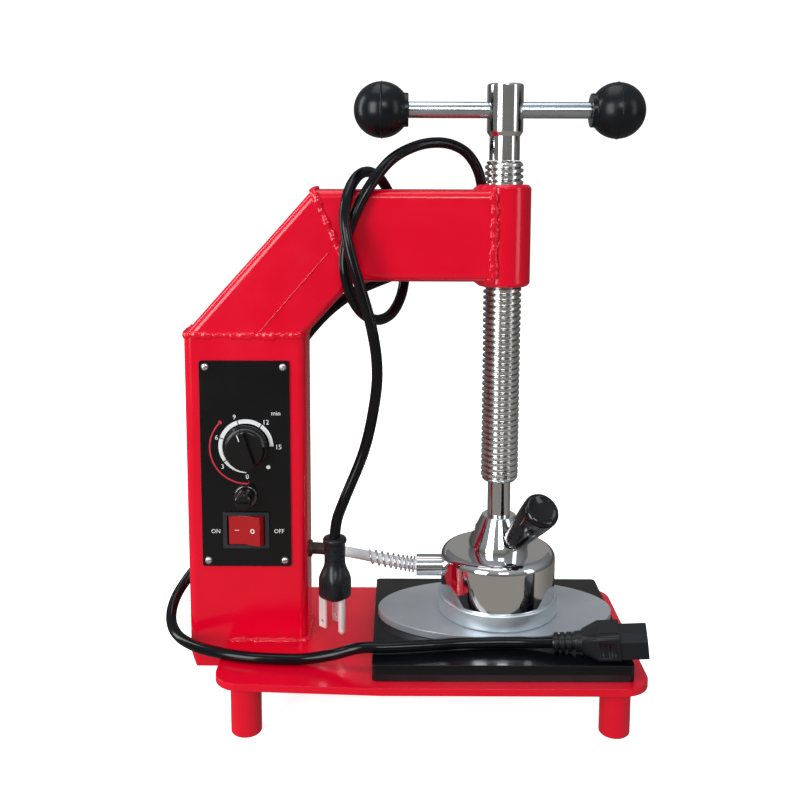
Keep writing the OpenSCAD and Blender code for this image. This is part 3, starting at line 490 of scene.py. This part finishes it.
def cut_by(piece, tools):
    """Cuts a piece with a set of blocks, which are then thrown away."""
    tool = joined(tools)
    pick_up(piece)
    cut = piece.modifiers.new("cut", "BOOLEAN")
    cut.object = tool
    cut.solver = "EXACT"
    cut.use_self = True
    bpy.ops.object.modifier_apply(modifier="cut")
    bpy.data.objects.remove(tool, do_unlink=True)
    return piece


def crossed(piece, heads, along):
    """Presses a driver's cross into each screw head."""
    bit = (3.2, 1.4, 0.6)
    return cut_by(piece, [block(Matrix.Translation(at) @ Matrix.Rotation(turn + along, 4, "Y"), (0, 0, 0), bit)
                          for at in heads for turn in (0, math.pi / 2)])


panel_l, panel_r = extent("control_panel", "x")
panel_low, panel_top = extent("control_panel", "z")
panel_face, inlet_face = extent("control_panel", "y")[0], extent("power_inlet", "y")[1]
inset, head_up = 0.0042, 0.0019
heads = [(x, panel_face - head_up, z) for x in (panel_l + inset, panel_r - inset)
         for z in (panel_low + inset, panel_top - inset)]
fit(crossed(rounded("panel_screws", "panel_head_screws", 0.0002), heads, 0.6), zinc, "frame", "steel", "panel_screws")
inlet_z, inlet_apart = middle_of("power_inlet", "z"), 0.04
heads = [(middle_x + side * inlet_apart / 2, inlet_face + head_up, inlet_z) for side in (-1, 1)]
fit(crossed(rounded("inlet_screws", "inlet_head_screws", 0.0002), heads, 0.3), zinc, "frame", "steel", "inlet_screws")

timer_x, timer_z = middle_of("timer_knob", "x"), middle_of("timer_knob", "z")
ink = 0.00006


def on_panel(piece, x, z, y=panel_face, slope=0.0, turn=0.0):
    """Stands a flat mark up on a face towards the front."""
    piece.location = (x, y, z)
    piece.rotation_euler = (Matrix.Rotation(turn, 3, "Z") @ Matrix.Rotation(math.pi / 2, 3, "X")
                            @ Matrix.Rotation(slope, 3, "Z")).to_euler()
    bpy.ops.object.transform_apply(location=True, rotation=True, scale=True)
    return piece


def word(text, height, x, z, **place):
    """A word or number in plain letters, as flat ink."""
    bpy.ops.object.select_all(action="DESELECT")
    bpy.ops.object.text_add(location=(0, 0, 0))
    letters = bpy.context.object
    letters.data.body = text
    letters.data.size = height / 0.7
    letters.data.align_x = "CENTER"
    letters.data.align_y = "CENTER"
    letters.data.extrude = ink
    letters.data.resolution_u = 3
    bpy.ops.object.convert(target="MESH")
    return on_panel(bpy.context.object, x, z, **place)


def band(outer, inner, first, last, x, z, **place):
    """A printed arc between two radii; inner is a pair, at its first and last end."""
    bpy.ops.object.select_all(action="DESELECT")
    steps = max(int(abs(last - first) / 3), 8)
    bpy.ops.mesh.primitive_grid_add(x_subdivisions=steps, y_subdivisions=1, size=2)
    arc = bpy.context.object
    for v in arc.data.vertices:
        t = (v.co.x + 1) / 2
        w = math.radians(first + (last - first) * t)
        near = inner[0] + (inner[1] - inner[0]) * t
        r = outer if v.co.y > 0 else near
        v.co = (r * math.cos(w), r * math.sin(w), 0)
    bpy.ops.object.mode_set(mode="EDIT")
    bpy.ops.mesh.select_all(action="SELECT")
    bpy.ops.mesh.remove_doubles(threshold=1e-6)
    bpy.ops.mesh.extrude_region_move(TRANSFORM_OT_translate={"value": (0, 0, ink)})
    bpy.ops.mesh.select_all(action="SELECT")
    bpy.ops.mesh.normals_make_consistent(inside=False)
    bpy.ops.object.mode_set(mode="OBJECT")
    return on_panel(arc, x, z, **place)


def printed(name, marks, finish, body, slot):
    """Joins the marks of one ink into one print."""
    piece = joined(marks)
    piece.name = name
    return fit(piece, finish, body, slot)


white_ink = surface("white_ink", (0.72, 0.75, 0.76), (0.84, 0.86, 0.87), (0.4, 0.55), 1500, 0.05, 300)
red_ink = surface("red_ink", (0.50, 0.01, 0.03), (0.62, 0.02, 0.05), (0.4, 0.55), 1500, 0.05, 300)
scale_outer, break_half = 0.0186, 1.2
edges = [270, 216, 162, 108, 54, 0]
inner_edges = [0.0180, 0.0164, 0.0158, 0.0157, 0.0158, 0.0160]
marks = [band(scale_outer, inner_edges[i:i + 2], edges[i] - (break_half if i else 0),
              edges[i + 1] + (break_half if i < 4 else 0), timer_x, timer_z) for i in range(5)]
digit, label = 0.0032, 0.0028
for text, angle, reach in (("0", 271.6, 0.0213), ("3", 222, 0.0215), ("6", 163.5, 0.0206), ("9", 110.5, 0.0214),
                           ("12", 50.5, 0.0213), ("15", -1.5, 0.0219)):
    w = math.radians(angle)
    marks.append(word(text, digit, timer_x + reach * math.cos(w), timer_z + reach * math.sin(w)))
marks.append(word("min", 0.0031, timer_x + 0.0204, timer_z + 0.0227))
marks.append(band(0.0014, (0, 0), 0, 360, timer_x + 0.0149, timer_z - 0.0145))
marks.append(word("ON", label, middle_x - 0.0209, 0.1189))
marks.append(word("OFF", label, middle_x + 0.0222, 0.1190))
printed("white_scale", marks, white_ink, "frame", "lead_white")
arc_x, arc_z, arc_r, arc_half = timer_x + 0.0004, timer_z - 0.0012, 0.0249, 0.0005
start = math.radians(135)
marks = [band(arc_r + arc_half, (arc_r - arc_half, arc_r - arc_half), 135, 272, arc_x, arc_z),
         band(0.0013, (0, 0), 0, 360, arc_x + arc_r * math.cos(start), arc_z + arc_r * math.sin(start)),
         word("I", 0.0022, arc_x + 0.0012, arc_z - arc_r + 0.0009)]
printed("red_scale", marks, red_ink, "frame", "red_plastic")

# Timer: a clockwork box behind the panel; the knob on its shaft is a glossy black moulding with a
# finger bar and a white line on it, a painted highlight where the bar's glint lies that also reads the scale.
black_polish = surface("black_polish", (0.003, 0.003, 0.0035), (0.006, 0.006, 0.007), (0.1, 0.18), 300, 0.02)
fit(rounded("timer_knob", "moulded_timer_knob", 0.0006, 3), black_polish, "timer_dial", "black_plastic", "timer_knob")
fit(rounded("timer_shaft", "steel_timer_shaft", 0.0003), zinc, "timer_dial", "steel", "timer_shaft")
fit(rounded("timer_body", "clockwork_box", 0.0008), black_moulding, "frame", "black_plastic", "timer_body")
bar_turn, line_out, knob_face = math.radians(18), 0.0095, extent("timer_knob", "y")[0]
# The white line on the bar's upper end is a painted highlight laid on the bar's glint, and serves as the pointer.
line = word("I", 0.0046, timer_x - line_out * math.sin(bar_turn), timer_z + line_out * math.cos(bar_turn),
            y=knob_face - 0.00002, slope=bar_turn)
printed("knob_pointer_highlight", [line], white_ink, "timer_dial", "lead_white")

# Rocker switch: black housing snapped into the panel and a clear red paddle on two pins, with a bar
# on one side and a ring on the other.
grey_moulding = surface("grey_moulding", (0.012, 0.015, 0.019), (0.020, 0.024, 0.03), (0.26, 0.38), 1200, 0.05)
fit(rounded("rocker_housing", "moulded_switch_housing", 0.0006, 3), grey_moulding, "frame", "black_plastic",
    "rocker_housing")
red_moulding = surface("red_moulding", (0.33, 0.006, 0.009), (0.44, 0.010, 0.014), (0.12, 0.2), 900, 0.03,
                       Subsurface_Weight=0.05, Subsurface_Radius=(0.002, 0.0005, 0.0005))
fit(rounded("rocker_paddle", "moulded_paddle", 0.0006, 3), red_moulding, "rocker", "red_plastic", "rocker_paddle")
rocker_z, pivot_y, tipped = middle_of("rocker_housing", "z"), -0.0128, math.radians(-12)
half_slope, mark_out, paddle_up = math.atan2(2.4, 11), 0.0055, 0.0038
marks = []
for side in (-1, 1):
    near = Matrix.Rotation(tipped, 3, "Z") @ Vector((side * mark_out, -paddle_up - 0.00003, 0))
    spot = {"x": middle_x + near.x, "z": rocker_z, "y": pivot_y + near.y, "turn": tipped - side * half_slope}
    if side < 0:
        marks.append(word("I", 0.0030, slope=math.pi / 2, **spot))
    else:
        marks.append(band(0.0017, (0.0010, 0.0010), 0, 360, **spot))
printed("paddle_marks", marks, white_ink, "rocker", "lead_white")

# Fuse holder: a glossy moulded barrel set through the panel, with a bayonet cap that a coin can turn.
# The cap carries the cartridge.
mirror_black = surface("mirror_black", (0.003, 0.003, 0.0035), (0.006, 0.006, 0.007), (0.05, 0.1), 200, 0.01,
                       Specular_IOR_Level=1.0, Coat_Weight=1.0, Coat_Roughness=0.06)
fit(rounded("fuse_holder", "moulded_fuse_holder", 0.0011, 4), mirror_black, "frame", "black_plastic", "fuse_holder")
fit(rounded("fuse_cap", "moulded_fuse_cap", 0.0006, 4), black_polish, "fuse", "black_plastic", "fuse_cap")
fit(rounded("fuse_cartridge", "glass_fuse", 0.0006, 3), ivory_moulding, "fuse", "ivory", "fuse_cartridge")

# Heating head: a turned aluminium plate with its heating ring, thermostat and insulation disc, under a
# deep-drawn shell with bright plating.
turned_aluminium = surface("turned_aluminium", (0.68, 0.76, 0.82), (0.80, 0.87, 0.92), (0.36, 0.48), 900, 0.06, 60,
                           (1, 1, 5), Metallic=0.9)
fit(rounded("heating_plate", "turned_heating_plate", 0.0005, 2), turned_aluminium, "head", "aluminium",
    "heating_plate")
bright_plate = surface("bright_plate", (0.72, 0.73, 0.74), (0.80, 0.81, 0.82), (0.04, 0.09), 60, 0.02, 40,
                       Metallic=1.0)
for part, name, ease in (("heater_shell", "plated_shell", 0.0006), ("swivel_cone", "plated_cone", 0.0006),
                         ("lead_ferrule", "plated_ferrule", 0.0005)):
    fit(rounded(part, name, ease, 3), bright_plate, "head", "chrome", part)
dark_steel = surface("dark_steel", (0.12, 0.12, 0.125), (0.2, 0.2, 0.205), (0.3, 0.5), 600, 0.08, 60, Metallic=1.0)
fit(rounded("heating_ring", "tubular_heater", 0), dark_steel, "head", "steel", "heating_ring")
fit(rounded("thermostat", "disc_thermostat", 0.0005), zinc, "head", "steel", "thermostat")
mica = surface("pressed_mica", (0.42, 0.36, 0.26), (0.6, 0.53, 0.42), (0.35, 0.6), 300, 0.2, 120)
fit(rounded("insulation_disc", "mica_disc", 0.0004), mica, "head", "ivory", "insulation_disc")
fit(rounded("cone_screws", "cone_bolts", 0.0004), zinc, "head", "steel", "cone_screws")
bronze = surface("turned_bronze", (0.42, 0.25, 0.09), (0.55, 0.35, 0.14), (0.25, 0.4), 700, 0.05, 60, Metallic=1.0)
fit(rounded("thrust_washer", "bronze_washer", 0.0003), bronze, "head", "bronze", "thrust_washer")
fit(rounded("retaining_screws", "cone_set_screws", 0.0004), dark_steel, "head", "steel", "retaining_screws")

# Handle: a polished black phenolic grip with a dished end, turned to a slow taper.
# It screws onto a steel stud in the cone's side.
fit(rounded("handle_stud", "plated_stud", 0.0004), zinc, "head", "steel", "handle_stud")
black_gloss = surface("black_gloss", (0.003, 0.003, 0.0035), (0.005, 0.005, 0.006), (0.1, 0.18), 120, 0.02,
                      Specular_IOR_Level=0.4, Coat_Weight=0.2, Coat_Roughness=0.05)


def drawn_line(name, points):
    """A line of edges drawn by extruding one vertex from point to point."""
    bpy.ops.object.select_all(action="DESELECT")
    bpy.ops.mesh.primitive_plane_add(size=0.001)
    piece = bpy.context.object
    piece.name = name
    bpy.ops.object.mode_set(mode="EDIT")
    bpy.ops.mesh.select_mode(type="VERT")
    bpy.ops.mesh.select_all(action="SELECT")
    bpy.ops.mesh.merge(type="CENTER")
    bpy.ops.transform.translate(value=points[0])
    for a, b in zip(points, points[1:]):
        bpy.ops.mesh.extrude_region_move(TRANSFORM_OT_translate={"value": Vector(b) - Vector(a)})
    bpy.ops.object.mode_set(mode="OBJECT")
    return piece


def wound(piece, steps, rise=0.0, rounds=1):
    """Spins a drawn line round the upright axis, rising a little in each round."""
    spin = piece.modifiers.new("spin", "SCREW")
    spin.screw_offset = rise
    spin.iterations = rounds
    spin.steps = spin.render_steps = steps
    spin.use_merge_vertices = True
    spin.merge_threshold = 1e-6
    bpy.ops.object.modifier_apply(modifier="spin")


def seal():
    """Closes the sheet in hand where its edges meet and turns its faces outwards."""
    bpy.ops.object.mode_set(mode="EDIT")
    bpy.ops.mesh.select_all(action="SELECT")
    bpy.ops.mesh.remove_doubles(threshold=1e-6)
    bpy.ops.mesh.normals_make_consistent(inside=False)
    bpy.ops.object.mode_set(mode="OBJECT")


turned_crease = math.radians(40)


def set_down(piece, place):
    """Closes a piece made at the origin and sets it in its place."""
    seal()
    piece.matrix_world = place
    bpy.ops.object.transform_apply(location=True, rotation=True, scale=True)
    bpy.ops.object.shade_smooth_by_angle(angle=turned_crease)
    return piece


def turned(name, outline, place, steps=64):
    """A piece turned on a lathe: an outline of radius and height in millimetres, spun round its axis."""
    piece = drawn_line(name, [(r / 1000, 0, z / 1000) for r, z in outline])
    wound(piece, steps)
    return set_down(piece, place)


stud_z, stud_out, swung, raised = 0.0922, 0.028, math.radians(-64), math.radians(44)
grip_place = (Matrix.Translation((screw_x, mid_y, stud_z)) @ Matrix.Rotation(swung, 4, "Z")
              @ Matrix.Rotation(math.pi / 2 - raised, 4, "Y") @ Matrix.Translation((0, 0, stud_out)))
grip = turned("polished_grip", [
    (0, 0), (5.6, 0), (6.3, 0.2), (6.9, 0.6), (7.4, 1.3), (7.7, 3), (8.7, 11), (9.6, 19.2), (10.7, 28), (11.5, 35),
    (12, 41), (12.2, 44), (12.2, 45), (12, 45.9), (11.6, 46.7), (11, 47.4), (10.2, 47.85), (9.5, 48), (9, 47.9),
    (8.5, 47.6), (7, 47), (4.5, 46.5), (2, 46.3), (0, 46.3)], grip_place)
fit(grip, black_gloss, "head", "black_gloss", "handle_grip")

# Head's lead: cable in a white woven glass sleeve, from the column's grommet to the ferrule, with a
# spring wire wound round it at the ferrule. Both bend as the head goes up and down.
ferrule_x = extent("lead_ferrule", "x")[0]
lead_z, lead_rise, lead_d = 0.087, 0.012, 0.0074
lead_run = ferrule_x - column_r


def lead_at(t):
    """A point on the lead's middle, from the ferrule at 0 to the column at 1."""
    rise = lead_rise * (0.75 * t + 1.5 * t * t - 1.25 * t ** 3)
    return Vector((ferrule_x - t * lead_run, mid_y, lead_z + rise))


def sleeve(name, line, radius, around=28):
    """A tube round a line, rolled up from a flat grid so that its weave can follow it."""
    bpy.ops.object.select_all(action="DESELECT")
    bpy.ops.mesh.primitive_grid_add(x_subdivisions=len(line) - 1, y_subdivisions=around, size=2, calc_uvs=True)
    piece = bpy.context.object
    piece.name = name
    for v in piece.data.vertices:
        i = round((v.co.x + 1) / 2 * (len(line) - 1))
        w = math.pi * v.co.y
        ahead = (line[min(i + 1, len(line) - 1)] - line[max(i - 1, 0)]).normalized()
        side = Vector((0, 1, 0))
        up = side.cross(ahead).normalized()
        v.co = line[i] + (side * math.cos(w) + up * math.sin(w)) * radius
    seal()
    bpy.ops.object.shade_smooth()
    return piece


def woven(name, dark, light, turns, picks):
    """A woven sleeve: two sets of yarn that cross on the piece's own UV map."""
    m = surface(name, dark, light, (0.6, 0.75), 2500, 0.1, 200)
    t = m.node_tree
    own = t.nodes.new("ShaderNodeUVMap")
    heights = []
    for lean in (1, -1):
        yarn = t.nodes.new("ShaderNodeVectorMath")
        yarn.operation = "DOT_PRODUCT"
        yarn.inputs[1].default_value = (picks, lean * turns, 0)
        wave = t.nodes.new("ShaderNodeMath")
        wave.operation = "SINE"
        t.links.new(own.outputs["UV"], yarn.inputs[0])
        t.links.new(yarn.outputs["Value"], wave.inputs[0])
        heights.append(wave)
    cross = t.nodes.new("ShaderNodeMath")
    cross.operation = "MULTIPLY"
    t.links.new(heights[0].outputs[0], cross.inputs[0])
    t.links.new(heights[1].outputs[0], cross.inputs[1])
    t.nodes["dent"].inputs["Strength"].default_value = 0.5
    t.links.new(cross.outputs[0], t.nodes["dent"].inputs["Height"])
    return m


def flexing(piece, finish, slot, *stands_for):
    """Gives a piece of the lead its finish, hides the parts it stands for and sets its place into its mesh."""
    piece.data.materials.append(finish)
    if stands_for:
        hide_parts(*stands_for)
    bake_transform(piece)
    return piece


in_column, in_ferrule = 0.0105, 0.0215
lead_line = [lead_at(1 - k / 72) for k in range(73)]
inside = [lead_line[0] - Vector((in_column * (6 - k) / 6, 0, 0)) for k in range(6)]
into_head = [lead_line[-1] + Vector((in_ferrule * k / 8, 0, 0)) for k in range(1, 9)]
braid_line = inside + lead_line + into_head
glass_braid = woven("glass_braid", (0.80, 0.83, 0.84), (0.92, 0.94, 0.95), 16 * math.pi, 440)
braid = flexing(sleeve("braided_lead", braid_line, lead_d / 2), glass_braid, "lead_white", "head_lead")
shrink_line = [lead_at(1.02 - 0.24 * k / 20) for k in range(21)]
shrink = flexing(sleeve("shrink_sleeve", shrink_line, 0.0042), brown_rubber, "cord_black")

spring_line = []
curls, per_curl, wire, spring_long = 9, 28, 0.0012, 0.032
for i in range(curls * per_curl + 1):
    u = i / (curls * per_curl)
    c = lead_at((spring_long * (0.65 * u + 0.35 * u * u) + 0.9 * wire) / lead_run)
    r, w = 0.0053 - 0.0006 * u, 2 * math.pi * i / per_curl
    spring_line.append(c + Vector((0, r * math.sin(w), r * math.cos(w))))
spring = as_mesh(lay_lead("guard_spring", spring_line, wire, 3))
bpy.ops.object.shade_smooth()
flexing(spring, bright_plate, "steel", "lead_spring")


# Press screw: turned steel with a rolled thread, a plain shank and a cross-bored hub, bright plated,
# with painted shade darkening the bottom of the thread.
def pick_faces(piece, wanted):
    """Selects the faces whose middle is wanted, and nothing else."""
    bpy.ops.object.mode_set(mode="EDIT")
    bpy.ops.mesh.select_mode(type="FACE")
    bpy.ops.mesh.select_all(action="DESELECT")
    bpy.ops.object.mode_set(mode="OBJECT")
    for f in piece.data.polygons:
        f.select = wanted(f.center)


pitch, crest, shoulder, root, core = 0.004, 0.01295, 0.0126, 0.0113, 0.0086
thread_low, thread_high, run_out, margin = 0.150, 0.370, 0.8, 0.0004
flank = [(0, root), (0.10, root), (0.23, shoulder), (0.31, crest),
         (0.69, crest), (0.77, shoulder), (0.90, root), (1, root)]
thread = drawn_line("plated_press_screw", [(r, 0, thread_low - pitch + z * pitch) for z, r in flank])
wound(thread, 48, pitch, int((thread_high - thread_low) / pitch) + 3)
bpy.ops.object.mode_set(mode="EDIT")
bpy.ops.mesh.select_all(action="SELECT")
bpy.ops.mesh.remove_doubles(threshold=1e-6)
for end, facing in ((thread_low, 1), (thread_high, -1)):
    bpy.ops.mesh.select_all(action="SELECT")
    bpy.ops.mesh.bisect(plane_co=(0, 0, end), plane_no=(0, 0, facing), use_fill=True, clear_inner=True)
bpy.ops.mesh.select_all(action="SELECT")
bpy.ops.mesh.normals_make_consistent(inside=False)
bpy.ops.object.mode_set(mode="OBJECT")
for v in thread.data.vertices:
    r = math.hypot(v.co.x, v.co.y)
    most = root + run_out * min(v.co.z - thread_low, thread_high - v.co.z)
    ease = min(1, most / r) if r > 0 else 1
    v.co = (v.co.x * ease + screw_x, v.co.y * ease + mid_y, v.co.z)
ends = rounded("press_screw", "screw_ends", 0.0005, 3)
pick_faces(ends, lambda c: thread_low - margin < c.z < thread_high + margin
           and math.hypot(c.x - screw_x, c.y - mid_y) > core)
bpy.ops.object.mode_set(mode="EDIT")
bpy.ops.mesh.delete(type="FACE")
bpy.ops.object.mode_set(mode="OBJECT")
thread.select_set(True)
bpy.context.view_layer.objects.active = thread
bpy.ops.object.join()
bpy.ops.object.shade_smooth_by_angle(angle=turned_crease)


def root_shaded(m, axis, deep, shallow, shade_colour):
    """Darkens a turned finish with painted shade towards its axis, between two radii."""
    t = m.node_tree
    spot = t.nodes.new("ShaderNodeTexCoord")
    off = t.nodes.new("ShaderNodeVectorMath")
    off.operation = "SUBTRACT"
    off.inputs[1].default_value = axis
    flat = t.nodes.new("ShaderNodeVectorMath")
    flat.operation = "MULTIPLY"
    flat.inputs[1].default_value = (1, 1, 0)
    reach = t.nodes.new("ShaderNodeVectorMath")
    reach.operation = "LENGTH"
    unshaded = t.nodes.new("ShaderNodeMapRange")
    unshaded.inputs["From Min"].default_value = deep
    unshaded.inputs["From Max"].default_value = shallow
    shade_mix = t.nodes.new("ShaderNodeMix")
    shade_mix.data_type = "RGBA"
    shade_mix.inputs["A"].default_value = (*shade_colour, 1)
    t.links.new(spot.outputs["Object"], off.inputs[0])
    t.links.new(off.outputs["Vector"], flat.inputs[0])
    t.links.new(flat.outputs["Vector"], reach.inputs[0])
    t.links.new(reach.outputs["Value"], unshaded.inputs["Value"])
    t.links.new(unshaded.outputs["Result"], shade_mix.inputs["Factor"])
    t.links.new(t.nodes["tint"].outputs["Result"], shade_mix.inputs["B"])
    t.links.new(shade_mix.outputs["Result"], t.nodes["Principled BSDF"].inputs["Base Color"])
    return m


# The finish darkens to grey at the thread's roots: painted shade in the bottom of the thread.
thread_plate = root_shaded(surface("thread_plate", (0.78, 0.79, 0.80), (0.88, 0.89, 0.90), (0.14, 0.24), 600, 0.03, 60,
                             Metallic=1.0), (screw_x, mid_y, 0), 0.0112, 0.0124, (0.34, 0.33, 0.31))
hub_plate = surface("hub_plate", (0.66, 0.67, 0.68), (0.76, 0.77, 0.78), (0.06, 0.13), 400, 0.02, 60, Metallic=1.0)
fit(thread, thread_plate, "screw", "steel", "press_screw")
thread.data.materials.append(hub_plate)
for f in thread.data.polygons:
    away = math.hypot(f.center.x - screw_x, f.center.y - mid_y)
    f.material_index = 0 if thread_low <= f.center.z <= thread_high and away > core else 1

# Turning bar and its knobs: a plated bar that slides through the hub, with a black phenolic ball pressed
# on each end. The balls keep the raised seam of their mould round the middle.
bar_plate = surface("bar_plate", (0.46, 0.53, 0.58), (0.62, 0.69, 0.74), (0.16, 0.3), 500, 0.05, 50, (0.08, 1, 1),
                    Metallic=1.0)
fit(rounded("turning_bar", "plated_turning_bar", 0.0004), bar_plate, "bar", "chrome", "turning_bar")
phenolic = surface("satin_phenolic", (0.003, 0.0045, 0.006), (0.006, 0.008, 0.01), (0.22, 0.32), 260, 0.04,
                   Specular_IOR_Level=0.27)
(bar_l, bar_r), bar_z = extent("turning_bar", "x"), middle_of("turning_bar", "z")
seam_half, seam_high, collar_r = 0.00035, 0.00035, 0.012
for part, at in (("knob_left", bar_l), ("knob_right", bar_r)):
    ball = rounded(part, "pressed_" + part, 0.0005)
    bpy.ops.object.mode_set(mode="EDIT")
    for shift in (-seam_half, seam_half):
        bpy.ops.mesh.select_all(action="SELECT")
        bpy.ops.mesh.bisect(plane_co=(at + shift, 0, 0), plane_no=(1, 0, 0))
    bpy.ops.object.mode_set(mode="OBJECT")
    pick_faces(ball, lambda c: abs(c.x - at) < seam_half - 1e-5
               and math.hypot(c.y - mid_y, c.z - bar_z) > collar_r)
    bpy.ops.object.mode_set(mode="EDIT")
    bpy.ops.mesh.extrude_region_shrink_fatten(TRANSFORM_OT_shrink_fatten={"value": seam_high})
    bpy.ops.object.mode_set(mode="OBJECT")
    bpy.ops.object.shade_smooth_by_angle(angle=crease)
    fit(ball, phenolic, "bar", "black_gloss", part)

# Power cord: a round black mains lead wound over the arm, with a moulded plug at one end and a moulded
# connector for the inlet at the other.
black_sheath = surface("black_sheath", (0.002, 0.0025, 0.0035), (0.004, 0.0045, 0.006), (0.1, 0.18), 800, 0.04,
                       Specular_IOR_Level=0.27)
# Its route, in millimetres, from the connector over the arm to the plug.
cord_route = [
    (92, -48.8, 57), (82, -47, 55.8), (68, -45.6, 55.4), (50, -46, 55.4), (30, -47.6, 55.4), (10, -50.4, 55.4),
    (-15, -53.4, 55.5), (-34.5, -53.2, 54.7), (-52.8, -50, 48.4), (-71.6, -48, 44.4), (-90, -47.2, 44),
    (-110, -44.8, 44), (-129.4, -38.6, 43.9), (-147, -29.3, 43.8), (-161.6, -16, 45), (-169.8, 0.3, 49),
    (-170.2, 15.8, 57.4), (-162.5, 28.1, 69.4), (-148, 34.3, 86.3), (-130.1, 34, 113.9), (-115.8, 31.9, 151.8),
    (-102.2, 32, 194.4), (-85.9, 31.8, 231.4), (-65.3, 32.3, 258.8), (-42.7, 37.1, 276.8),
    (-15.9, 42.1, 288.3), (9, 43.2, 297.7), (29.4, 41.6, 309.6), (42.6, 40.1, 324.7), (48.2, 38.4, 341.8),
    (46.3, 35.8, 360.4), (38.1, 32, 374.6), (26, 26.8, 381.5), (12, 18.5, 382.4), (-2.1, 7, 378.6),
    (-15.7, -5.5, 370.2), (-27.5, -14, 355.8), (-36.8, -18.2, 339.4), (-43.5, -20.7, 321.5),
    (-45.6, -22.8, 302.8), (-42.1, -21.4, 284.2), (-34.3, -13.7, 269.7), (-24.4, -1.1, 263.2),
    (-14.7, 13.9, 266), (-7.7, 27.3, 279), (-5.7, 36.4, 300.3), (-9.1, 39.1, 323.8), (-15.4, 35.1, 343.7),
    (-22.4, 25.6, 356.9), (-30, 12.2, 362.5), (-37.2, -2.8, 360.1), (-42.8, -16.5, 349.9), (-45.1, -26, 334.5),
    (-42.4, -30.9, 315.9), (-35.3, -31.9, 290.4), (-28, -29.6, 263.8), (-24.2, -26.4, 237.9),
    (-25.4, -25.1, 213.6), (-32.5, -22.4, 179.2), (-45.6, -22, 145.5), (-51, -21, 130.5),
    (-52.8, -20.5, 117.8)]
cord_d = 0.0074
cord_line = curve_through(cord_route, 8)
mains_lead = lay_lead("mains_lead", cord_line, cord_d)
fit(mains_lead, black_sheath, "frame", "cord_black", "power_cord")


def grooved(piece, tools):
    """Cuts grooves into a moulding and smooths what is left between them."""
    cut_by(piece, tools)
    bpy.ops.object.shade_smooth_by_angle(angle=crease)
    return piece


def moulded(name, rings, place, around=72):
    """A moulding drawn through rings of height, half width and squareness, in millimetres."""
    bpy.ops.object.select_all(action="DESELECT")
    bpy.ops.mesh.primitive_grid_add(x_subdivisions=around, y_subdivisions=len(rings) - 1, size=2)
    piece = bpy.context.object
    piece.name = name
    for v in piece.data.vertices:
        height, half, square = rings[round((v.co.y + 1) / 2 * (len(rings) - 1))]
        w = math.pi * v.co.x
        reach = half / (abs(math.cos(w)) ** square + abs(math.sin(w)) ** square) ** (1 / square)
        v.co = Vector((reach * math.cos(w), reach * math.sin(w), height)) / 1000
    return set_down(piece, place)


plug_place = (Matrix.Translation(cord_line[-1]) @ Matrix.Rotation(math.radians(48), 4, "Z")
              @ Matrix.Rotation(math.pi, 4, "X"))
plug = moulded("moulded_plug", [
    (0, 0, 2), (0, 6.6, 2), (0.3, 7.3, 2), (1, 7.9, 2), (1.6, 8.1, 2), (2.8, 8.1, 2), (3.5, 7.9, 2), (4.2, 7.3, 2),
    (4.8, 7.1, 2), (5.6, 7.1, 2), (17, 7.1, 2), (19, 7.2, 2.1), (21.5, 7.8, 2.2), (24, 8.7, 2.4), (26.5, 9.4, 2.7),
    (28.5, 9.7, 3), (31, 9.75, 3.2), (40, 9.7, 3.2), (41.2, 9.5, 3.1), (41.8, 9.1, 3), (42, 8.5, 3), (42, 0, 3)],
               plug_place)
tools = []
for deg in range(0, 360, 60):
    spin = Matrix.Rotation(math.radians(deg), 4, "Z")
    for row, height in ((0, 8), (30, 11.6), (0, 15.2)):
        here = plug_place @ spin @ Matrix.Rotation(math.radians(row), 4, "Z")
        tools.append(block(here, (7.2, 0, height), (1.6, 4.2, 1.5)))
for deg in (0, 90, 180, 270):
    here = plug_place @ Matrix.Rotation(math.radians(deg), 4, "Z")
    for side in (-4.4, -2.2, 0, 2.2, 4.4):
        tools.append(block(here, (9.9, side, 34.5), (0.9, 0.7, 9)))
grooved(plug, tools)
soft_moulding = surface("soft_moulding", (0.005, 0.006, 0.008), (0.009, 0.011, 0.014), (0.26, 0.38), 900, 0.06,
                        Specular_IOR_Level=0.36)
fit(plug, soft_moulding, "frame", "black_plastic", "plug_body")
blades = fit(rounded("plug_blades", "plated_plug_blades", 0.0002), blade_plate, "frame", "steel", "plug_blades")

connector_place = (Matrix.Translation(cord_line[0]) @ Matrix.Rotation(math.radians(-10), 4, "Z")
                   @ Matrix.Rotation(math.radians(83), 4, "Y") @ Matrix.Rotation(math.pi / 2, 4, "Z"))
tools = []
for side in (-1, 1):
    for k in range(6):
        tools.append(block(connector_place, (side * 13.5, -1.2, 31 + 1.9 * k), (1.2, 9, 0.9)))
    tools.append(block(connector_place, (side * 9, 9, 36.5), (0.8, 1.2, 12)))
connector = grooved(rounded("connector_body", "moulded_connector", 0.0006, 2, 50), tools)
fit(connector, soft_moulding, "frame", "black_plastic", "connector_body")
